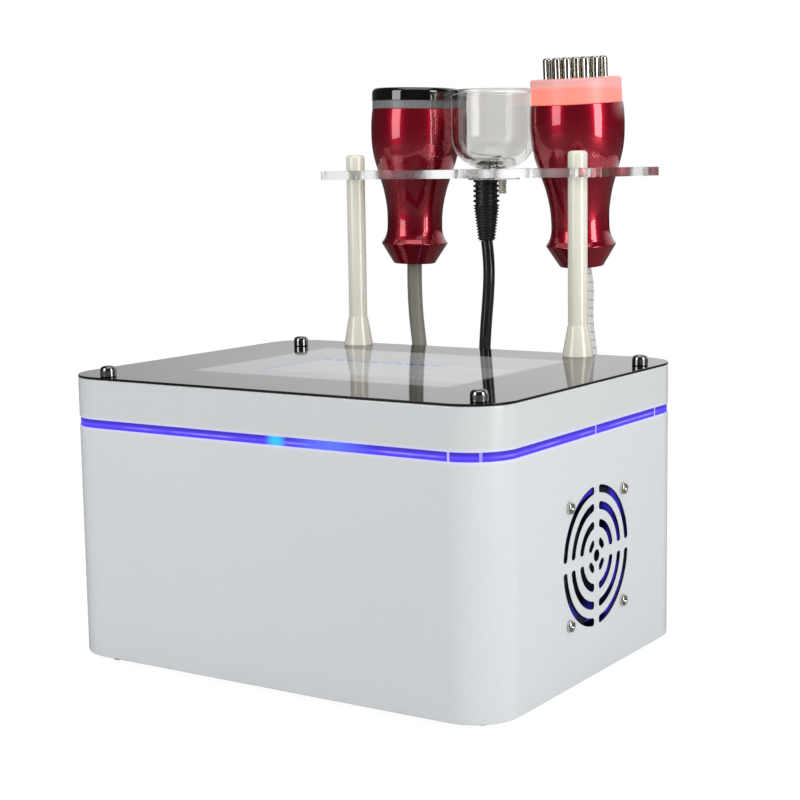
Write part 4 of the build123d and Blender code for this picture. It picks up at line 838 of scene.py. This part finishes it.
class CUPPING_OT_case(bpy.types.Operator):
    """Gives the shells, the top sheet with its lit screen, the light band and the feet their skins"""

    bl_idname = "cupping.case"
    bl_label = "Case"

    def execute(self, context):
        looks = context.scene.cupping_case
        smoothed_copy("lower_shell", self.silver("case_lacquer", looks.silver, looks))
        # The cover's lacquer is the case's a little darker: painted shade
        smoothed_copy("upper_cover", self.silver("cover_lacquer_shaded", looks.cover, looks))
        smoothed_copy("light_guide", self.band(looks))
        low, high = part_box("top_sheet")
        outline = rounded_rectangle(high[0] - low[0], high[1] - low[1], SHEET_CORNER, 32)
        plate = slab(outline, low[2], high[2], looks.edge)
        piece_from("top_sheet_skin", plate, self.sheet(looks), "top_sheet")
        places = [(sx * FOOT_X * MM, sy * FOOT_Y * MM, 0) for sx in (-1, 1) for sy in (-1, 1)]
        feet = [turned(rounded(FOOT), 48, place) for place in places]
        stems = [turned(rounded(FOOT_STEM), 24, place) for place in places]
        piece_from("feet_skin", joined(feet + stems), finish("foot_rubber"), "rubber_feet")
        return {"FINISHED"}

    def silver(self, name, tone, looks):
        """Silver-white lacquer, with painted shade on the side walls of the grille's slot openings and the
        band's light spilled over it.
        """
        material, tree, shader = grained(
            name, tone, shade(tone, 0.97), (0.20, 0.30), 6, 1400, 0.03,
            coat_weight=0.3, coat_roughness=0.08,
        )
        x, y, z = object_axes(tree)
        rise = calculated("SUBTRACT", z, FAN_HEIGHT)
        reach = calculated("ADD", product(y, y), product(rise, rise))
        reach = calculated("SQRT", reach)
        # Painted shade: near black on the grille's slot walls, where the case's inside lies in shade
        slot_shade = product(
            mapped(reach, (GRILLE_EDGE + 1) * MM, GRILLE_EDGE * MM),
            mapped(x, CASE_RIGHT - 0.05 * MM, CASE_RIGHT - 0.25 * MM),
            mapped(x, CASE_RIGHT - 6 * MM, CASE_RIGHT - 4 * MM),
        )
        paint = shader.inputs["Base Color"].links[0].from_socket
        tree.links.new(tinted(slot_shade, paint, SLOT_SHADE), shader.inputs["Base Color"])
        below = calculated("SUBTRACT", BAND_LOW, z)
        above = calculated("SUBTRACT", z, BAND_HIGH)
        spill = mapped(calculated("MAXIMUM", below, above), SPILL_REACH, 0.0)
        light = tinted(product(spill, 0.22), BLACK, tuple(looks.band_core))
        tree.links.new(light, shader.inputs["Emission Color"])
        shader.inputs["Emission Strength"].default_value = 1.0
        return material

    def band(self, looks):
        """A lit band: dark blue at its upper edge, paler along the lower half, with patches and hot spots.

        Each joint is a bright tick, 1.4 mm wide, at a place along X on the front or Y on the side."""
        material, tree, shader = principled("light_band", (0.03, 0.02, 0.3), 0.15, emission_strength=1.0)
        x, y, z = object_axes(tree)
        patch = mapped(object_noise(tree, 30.0, 2.0), 0.40, 0.66, 0.15, 1.0)
        height = mapped(z, BAND_LOW, BAND_HIGH)
        streak = mapped(away_from(height, 0.36), 0.22, 0.02)
        colour = tinted(mapped(height, 0.55, 0.82), tuple(looks.band), shade(looks.band, 0.42))
        colour = tinted(product(streak, patch), colour, tuple(looks.band_core))
        front = mapped(y, CASE_FRONT + 12 * MM, CASE_FRONT + 4 * MM)
        side = mapped(x, CASE_RIGHT - 12 * MM, CASE_RIGHT - 4 * MM)
        for place, width, light in BAND_SPOTS:
            spot = mapped(away_from(x, place * MM), width * MM, 1 * MM)
            colour = tinted(product(spot, front), colour, light)
        for axis, mask, places in ((x, front, FRONT_TICKS), (y, side, SIDE_TICKS)):
            for place in places:
                tick = mapped(away_from(axis, place * MM), 0.9 * MM, 0.5 * MM)
                colour = tinted(product(tick, mask), colour, TICK_LIGHT)
        tree.links.new(colour, shader.inputs["Emission Color"])
        return material

    def sheet(self, looks):
        """Black gloss over a plain lit layout: a pale field, a paler block and two dashed lines."""
        material, tree, shader = principled(
            "smoked_sheet", (0.006, 0.006, 0.006), 0.06, emission_strength=1.0, specular_ior_level=0.335,
            specular_tint=(1.0, 0.985, 0.95, 1.0),
        )
        x, y, z = object_axes(tree)
        top = mapped(z, SHEET_TOP - 0.4 * MM, SHEET_TOP - 0.1 * MM)
        field = product(block_mask(x, y, SCREEN_FIELD, 3.5), 0.20)
        block = product(block_mask(x, y, SCREEN_BLOCK, 1.2), 0.06)
        clouds = mapped(object_noise(tree, 26.0, 1.0), 0.3, 0.7, 0.92, 1.06)
        light = product(calculated("ADD", field, block), clouds, top)
        colour = tinted(light, BLACK, tuple(looks.screen))
        across = block_mask(x, y, LINE_ACROSS, 0.4)
        along = block_mask(x, y, LINE_ALONG, 0.6)
        steps = product(calculated("ADD", x, y), DASHES_PER_METRE)
        dashes = mapped(calculated("FRACT", steps), 0.30, 0.36)
        lines = product(calculated("MAXIMUM", across, along), dashes, top)
        tree.links.new(tinted(lines, colour, LINE_LIGHT), shader.inputs["Emission Color"])
        return material


# Screws, fan, rear and inside

CAP_SCREW = [
    (0, -14.5, 0), (2, -14.5, 0.3), (2, 0, 0), (4.9, 0, 0.2), (5.2, 0.5, 0.2), (5.2, 4.3, 1.2),
    (4.5, 6.2, 1.5), (2.6, 6.9, 3.0), (0, 7, 0),
]
CAP_SCREW_PLACES = ((-124.0, -118.91), (-124.0, 86.3995), (150.4, 80.96), (144.0, -111.9525))

# The light on the fan's frame, and where along X it grows, in metres
FAN_GLOW = (0.028, 0.020, 0.42)
FAN_GLOW_GROWS = (0.138, 0.157)

# The pieces inside the case and the handsets' heads, by finish
INSIDE = {
    "mount_rubber": ("pump_mounts",),
    "pump_plastic": ("pump_head", "air_valve"),
    "hose_silicone": ("pump_hose", "socket_hose"),
    "green_board": ("control_board",),
    "white_board": ("led_strip", "led_board"),
    "display_frame": ("display_panel", "left_core"),
}


class CUPPING_OT_fastenings(bpy.types.Operator):
    """Makes the domed cap screws and gives the other screws, pillars and nuts their metal"""

    bl_idname = "cupping.fastenings"
    bl_label = "Screws and pillars"

    def execute(self, context):
        profile = rounded(CAP_SCREW)
        heads = [turned(profile, 64, (x * MM, y * MM, SHEET_TOP)) for x, y in CAP_SCREW_PLACES]
        chrome = finish("polished_chrome", metallic=1.0)
        piece_from("cap_screws_skin", joined(heads), chrome, "cap_screws")
        dress(finish("polished_steel", metallic=1.0), "fan_screws", "panel_screws", "pillar_screws")
        dress(
            finish("zinc_plate", metallic=1.0),
            "pillars", "post_nuts", "pump_bracket", "pump_motor", "power_supply", "board_standoffs",
        )
        return {"FINISHED"}


class CUPPING_OT_fan(bpy.types.Operator):
    """Gives the fan's rotor its plastic, and its frame a plastic with the case's blue light on it"""

    bl_idname = "cupping.fan"
    bl_label = "Fan"

    def execute(self, context):
        dress(finish("fan_plastic", specular_ior_level=0.25), "fan_rotor")
        dress(self.lit_frame(), "fan_frame")
        return {"FINISHED"}

    def lit_frame(self):
        """Black plastic that the band's light reaches: the glow grows towards the mouth, in patches."""
        material, tree, shader = principled(
            "fan_frame_plastic", (0.010, 0.010, 0.016), 0.45, emission_strength=1.0, specular_ior_level=0.2
        )
        x, _, _ = object_axes(tree)
        patches = mapped(object_noise(tree, 45.0, 1.0), 0.42, 0.62)
        glow = product(mapped(x, *FAN_GLOW_GROWS), patches)
        tree.links.new(tinted(glow, (0.0, 0.0, 0.004), FAN_GLOW), shader.inputs["Emission Color"])
        return material


class CUPPING_OT_rear(bpy.types.Operator):
    """Gives the rear panel, sockets, plugs, mains inlet, rocker and fuse drawer their materials"""

    bl_idname = "cupping.rear"
    bl_label = "Rear fittings"

    def execute(self, context):
        dress(finish("panel_lacquer"), "rear_panel")
        dress(finish("black_plastic"), "mains_inlet", "fuse_drawer", "left_plug", "cup_plug", "right_plug")
        dress(finish("switch_plastic"), "power_rocker")
        dress(finish("polished_chrome", metallic=1.0), "handset_sockets")
        return {"FINISHED"}


class CUPPING_OT_inside(bpy.types.Operator):
    """Gives the pump, hoses, boards and other pieces inside the case and the heads their materials"""

    bl_idname = "cupping.inside"
    bl_label = "Inside"

    def execute(self, context):
        for name, dressed in INSIDE.items():
            dress(finish(name), *dressed)
        glass, _, _ = principled("screen_glass", (0.02, 0.02, 0.025), 0.05, coat_weight=1.0)
        dress(glass, "touch_screen")
        return {"FINISHED"}


# Holder

POST_PLACES = ((-90, 111.5), (90, 111.5))
POST = [
    (0, 172, 0), (3, 172, 0), (3, 207.5, 0), (6.6, 207.5, 0), (6.6, 307.3, 0), (3, 307.3, 0), (3, 321.3, 0),
    (0, 321.3, 0),
]
POST_FOOT = [(3.2, 187, 0), (10.5, 187, 0.2), (10.5, 187.8, 0.3), (7, 207.5, 0.2), (3.2, 207.5, 0)]
POST_CAP = [(3.05, 313.3, 0), (6.6, 313.3, 0.3), (6.6, 324.9, 2.6), (0, 324.9, 0)]
POST_CAP_INSIDE = [(0, 321.6, 0), (3.05, 321.6, 0), (3.05, 313.3, 0)]


def clear_plastic(name, tint):
    """A new material that lets light through, as clear plastics do."""
    return principled(name, tint, 0.0, transmission_weight=1.0, ior=1.47)


class CUPPING_OT_holder(bpy.types.Operator):
    """Makes the posts with their feet and caps, and the clear plate on them"""

    bl_idname = "cupping.holder"
    bl_label = "Holder"

    def execute(self, context):
        ivory = finish("ivory_lacquer", coat_weight=0.4, coat_roughness=0.06)
        cap = np.concatenate([rounded(POST_CAP), rounded(POST_CAP_INSIDE)])
        for node, profile, closed in (
            ("holder_posts", rounded(POST), False), ("post_feet", rounded(POST_FOOT), True),
            ("post_caps", cap, False),
        ):
            both = joined([turned(profile, 64, (x * MM, y * MM, 0), closed=closed) for x, y in POST_PLACES])
            piece_from(node.replace("holder_", "") + "_skin", both, ivory, node)
        dress(self.acrylic(), "holder_plate")
        return {"FINISHED"}

    def acrylic(self):
        """Clear acrylic, polished on its faces and rough on its sawn edge, which stands upright."""
        material, tree, shader = clear_plastic("clear_acrylic", (0.93, 0.945, 0.94))
        _, _, z = axes_of(tree.nodes.new("ShaderNodeNewGeometry").outputs["Normal"])
        edge = mapped(calculated("ABSOLUTE", z), 0.6, 0.2, 0.0, 0.22)
        tree.links.new(edge, shader.inputs["Roughness"])
        return material


# Handsets, with heights from the holder plate's top; the cove and the side are points of smooth lines

BARREL_TAIL = [(0, -68.5, 0), (15.2, -68.5, 1.0), (24.6, -53.5, 0.9), (22.4, -50.4, 0)]
BARREL_COVE = [(22.4, -50.4), (20.9, -46.3), (20.3, -40)]
BARREL_SIDE = [(20.3, -40), (20.6, -30), (23.2, -15), (27.9, 0), (31.2, 12), (32.8, 30), (32.35, 41.5)]
BARREL_INSIDE = [
    (32.35, 41.5, 0), (32.0, 44.5, 0.5), (29.5, 44.5, 0), (29.5, 30, 0), (26.7, 12, 0), (17.8, -20, 0),
    (0, -20, 0),
]
GREY_RING = [(24, 44.5, 0), (32, 44.5, 0.4), (32, 50.3, 0.4), (24, 50.3, 0)]
BLACK_CAP = [(29.3, 50.3, 0), (32.3, 50.3, 0.3), (32.3, 59.5, 3.2), (0, 59.5, 0)]
BLACK_CAP_INSIDE = [(0, 56.5, 0), (29.3, 56.5, 0), (29.3, 50.3, 0)]
LIGHT_RING = [(24, 44.5, 0), (31.4, 44.5, 0.6), (31.4, 61.7, 1.6), (24, 61.7, 0.6), (24, 50, 0)]
PIN_PLATE = [(0, 57.7, 0), (23.8, 57.7, 0.2), (23.8, 61.7, 0.5), (0, 61.7, 0)]
PIN = [(0, 61.7, 0), (2.8, 61.7, 0), (2.8, 76, 1.8), (0, 76, 0)]
PIN_PITCH = 7.4 * MM
PIN_CIRCLE = 20 * MM
RING_PALE_FROM, RING_PALE_TO = HOLDER_TOP + 52.5 * MM, HOLDER_TOP + 56.5 * MM


def barrel_profile():
    """The barrel's section: its rounded tail, its cove and side as smooth lines, and back down inside."""
    upright, rim = (0, 1), (-0.083, 1)
    cove = flowing(BARREL_COVE, 8, end=upright) * MM
    side = flowing(BARREL_SIDE, 12, start=upright, end=rim) * MM
    return np.concatenate([rounded(BARREL_TAIL)[:-1], cove[:-1], side[:-1], rounded(BARREL_INSIDE)])


class CUPPING_OT_handsets(bpy.types.Operator):
    """Makes the two red handsets: barrels, grey ring and black cap, lit ring and polished pins"""

    bl_idname = "cupping.handsets"
    bl_label = "Handsets"

    def execute(self, context):
        looks = context.scene.cupping_handsets
        left = (looks.segments, LEFT_PLACE, LEFT_LEAN)
        right = (looks.segments, RIGHT_PLACE, RIGHT_LEAN)
        red = self.candy_red(looks)
        barrel = barrel_profile()
        piece_from("left_barrel_skin", turned(barrel, *left), red, "left_barrel")
        piece_from("right_barrel_skin", turned(barrel, *right), red, "right_barrel")
        ring = turned(rounded(GREY_RING), *left, closed=True)
        piece_from("left_ring_skin", ring, finish("ring_plastic"), "left_ring")
        cap = turned(np.concatenate([rounded(BLACK_CAP, 10), rounded(BLACK_CAP_INSIDE)]), *left)
        gloss = finish("cap_gloss", coat_weight=1.0, coat_roughness=0.02)
        piece_from("left_cap_skin", cap, gloss, "left_cap")
        self.lit_head(looks, right)
        return {"FINISHED"}

    def lit_head(self, looks, right):
        """The lit ring, the plate in it and its pins.

        A pin's place is pitch (column + row / 2) across and pitch row cos 30 along, inside the circle."""
        glow = self.glowing(looks)
        ring = turned(rounded(LIGHT_RING), *right, closed=True)
        piece_from("light_ring_skin", ring, glow, "light_ring")
        plate = turned(rounded(PIN_PLATE), *right)
        piece_from("pin_plate_skin", plate, glow, "pin_plate")
        row, column = np.meshgrid(np.arange(-3, 4), np.arange(-3, 4), indexing="ij")
        grid = PIN_PITCH * np.stack([column + row / 2, row * math.sqrt(0.75)], axis=-1).reshape(-1, 2)
        grid = grid[np.hypot(*grid.T) < PIN_CIRCLE]
        leaned = Euler((*RIGHT_LEAN, 0)).to_matrix()
        places = [Vector(RIGHT_PLACE) + leaned @ Vector((x, y, 0)) for x, y in grid]
        pins = joined([turned(rounded(PIN), 32, place, RIGHT_LEAN) for place in places])
        piece_from("pins_skin", pins, finish("polished_steel", metallic=1.0), "steel_pins")

    def candy_red(self, looks):
        """Red lacquer over metallic grains: a deep ground, brighter flakes, dark edges and a clear coat."""
        return grained(
            "candy_red", looks.red, shade(looks.red, 1.3), (0.26, 0.32), 40, 900, 0.0, metallic=0.75,
            specular_tint=(0.30, 0.02, 0.04, 1.0), specular_ior_level=0.1, coat_weight=1.0,
            coat_roughness=0.03, coat_ior=1.55,
        )[0]

    def glowing(self, looks):
        """Frosted plastic lit from below: a strong glow near the barrel, then a paler top."""
        material, tree, shader = principled("frosted_ring", (0.42, 0.16, 0.15), 0.38, emission_strength=1.0)
        _, _, z = object_axes(tree)
        wavy = calculated("ADD", z, product(object_noise(tree, 60.0, 2.0), 1.5 * MM))
        height = mapped(wavy, RING_PALE_FROM, RING_PALE_TO)
        colour = tinted(height, tuple(looks.glow), tuple(looks.glow_top))
        tree.links.new(colour, shader.inputs["Emission Color"])
        return material


# Suction cup, with heights from the holder plate's top

CUP_COLLAR = [(4, -2.5, 0), (4, -7.5, 0.2), (18.5, -7.5, 0.5), (18.5, 0, 0.3), (7.6, 0.03, 0)]
CUP_RIM = [
    (30.4, 30, 0), (30.4, 53.4, 0.3), (32.2, 53.4, 0.4), (32.2, 56, 0.8), (25.9, 56, 0.8), (25.9, 5, 19.5),
    (4, 5, 0.2), (4, 2.5, 0),
]
BOWL_AXIS = 6.4
BOWL_RADIUS = 24
COLLAR_FOOT = HOLDER_TOP - 7.5 * MM

# The boot, in mm: lengths of all ribs and of the coarse ones, radii at both ends, and for both kinds of
# rib the pitch and the depth of the grooves
BOOT_X = -6.5
BOOT_LENGTH, COARSE_LENGTH = 43.5, 18
BOOT_RADIUS, BOOT_END_RADIUS = 9.4, 6.3
COARSE_PITCH, FINE_PITCH = 3.6, 2.125
COARSE_DEPTH, FINE_DEPTH = 1.5, 0.9
BOOT_ROOT = ((6.3, 0.0), (6.3, 3.0), (0.0, 3.0))


class CUPPING_OT_cup(bpy.types.Operator):
    """Makes the clear suction cup with its stem, ribbed boot and air nipple"""

    bl_idname = "cupping.cup"
    bl_label = "Suction cup"

    def execute(self, context):
        clear, _, _ = clear_plastic("cup_plastic", (0.77, 0.768, 0.755))
        # The bowl is a quarter of a circle: radius = axis + R sin t, height = R - R cos t
        turn = np.linspace(math.asin(0.05), np.pi / 2, 20)
        radius, height = BOWL_AXIS + BOWL_RADIUS * np.sin(turn), BOWL_RADIUS - BOWL_RADIUS * np.cos(turn)
        bowl = np.stack([radius, height], axis=1)
        wall = np.concatenate([rounded(CUP_COLLAR), bowl * MM, rounded(CUP_RIM, 14)])
        cup = turned(wall, 128, (0, HANDSET_Y, HOLDER_TOP), closed=True)
        piece_from("cup_skin", cup, clear, "vacuum_cup", "cup_stem", sharp=50)
        boot = turned(self.boot_profile(), 72, (BOOT_X * MM, HANDSET_Y, COLLAR_FOOT))
        piece_from("boot_skin", boot, self.boot_rubber(), "cup_boot", sharp=60)
        dress(finish("nipple_plastic"), "air_nipple")
        return {"FINISHED"}

    def boot_rubber(self):
        """Black rubber up to the cup's collar, and pale plastic on the root that the collar holds."""
        material, tree, shader = grained("boot_rubber", *FINISHES["boot_rubber"])
        _, _, z = object_axes(tree)
        root = mapped(z, COLLAR_FOOT + 0.05 * MM, COLLAR_FOOT + 0.15 * MM)
        black = shader.inputs["Base Color"].links[0].from_socket
        tree.links.new(tinted(root, black, (0.62, 0.61, 0.58)), shader.inputs["Base Color"])
        return material

    def boot_profile(self):
        """Ribs: the radius drops by a share of each groove's depth where cos of the rib's phase is low."""
        down = np.linspace(0, BOOT_LENGTH, 436)
        coarse = down < COARSE_LENGTH
        past = down - COARSE_LENGTH
        narrowing = (BOOT_END_RADIUS - BOOT_RADIUS) * past / (BOOT_LENGTH - COARSE_LENGTH)
        taper = np.where(coarse, BOOT_RADIUS, BOOT_RADIUS + narrowing)
        phase = np.where(coarse, down / COARSE_PITCH, past / FINE_PITCH)
        depth = np.where(coarse, COARSE_DEPTH, FINE_DEPTH)
        groove = np.clip(0.5 - 1.6 * np.cos(2 * np.pi * (phase - 0.22)), 0, 1)
        side = np.stack([taper - depth * groove, -down], axis=1)[::-1]
        return np.concatenate([[(0.0, -BOOT_LENGTH)], side, BOOT_ROOT]) * MM


class CUPPING_PT_panel(bpy.types.Panel):
    """Lists the machine's pieces and what can be changed on them"""

    bl_idname = "CUPPING_PT_panel"
    bl_label = "Cupping machine"
    bl_space_type = "VIEW_3D"
    bl_region_type = "UI"
    bl_category = "Cupping"

    def draw(self, context):
        scene = context.scene
        for group in (scene.cupping_case, scene.cupping_handsets, scene.cupping_cords):
            box = self.layout.box()
            for name in group.__annotations__:
                box.prop(group, name)
        for operator in OPERATORS:
            self.layout.operator(operator.bl_idname)


OPERATORS = (
    CUPPING_OT_stage,
    CUPPING_OT_cords,
    CUPPING_OT_case,
    CUPPING_OT_fastenings,
    CUPPING_OT_fan,
    CUPPING_OT_rear,
    CUPPING_OT_inside,
    CUPPING_OT_holder,
    CUPPING_OT_handsets,
    CUPPING_OT_cup,
)
CLASSES = (CaseLooks, HandsetLooks, CordLooks, *OPERATORS, CUPPING_PT_panel)


def register():
    """Registers the classes and gives the scene their settings."""
    for item in CLASSES:
        bpy.utils.register_class(item)
    bpy.types.Scene.cupping_case = bpy.props.PointerProperty(type=CaseLooks)
    bpy.types.Scene.cupping_handsets = bpy.props.PointerProperty(type=HandsetLooks)
    bpy.types.Scene.cupping_cords = bpy.props.PointerProperty(type=CordLooks)


def unregister():
    """Takes the settings and the classes away again."""
    del bpy.types.Scene.cupping_cords
    del bpy.types.Scene.cupping_handsets
    del bpy.types.Scene.cupping_case
    for item in reversed(CLASSES):
        bpy.utils.unregister_class(item)


def main():
    """Makes the stage and every piece."""
    register()
    bpy.ops.cupping.stage()
    bpy.ops.cupping.cords()
    bpy.ops.cupping.case()
    bpy.ops.cupping.fastenings()
    bpy.ops.cupping.fan()
    bpy.ops.cupping.rear()
    bpy.ops.cupping.inside()
    bpy.ops.cupping.holder()
    bpy.ops.cupping.handsets()
    bpy.ops.cupping.cup()


if __name__ == "__main__":
    main()
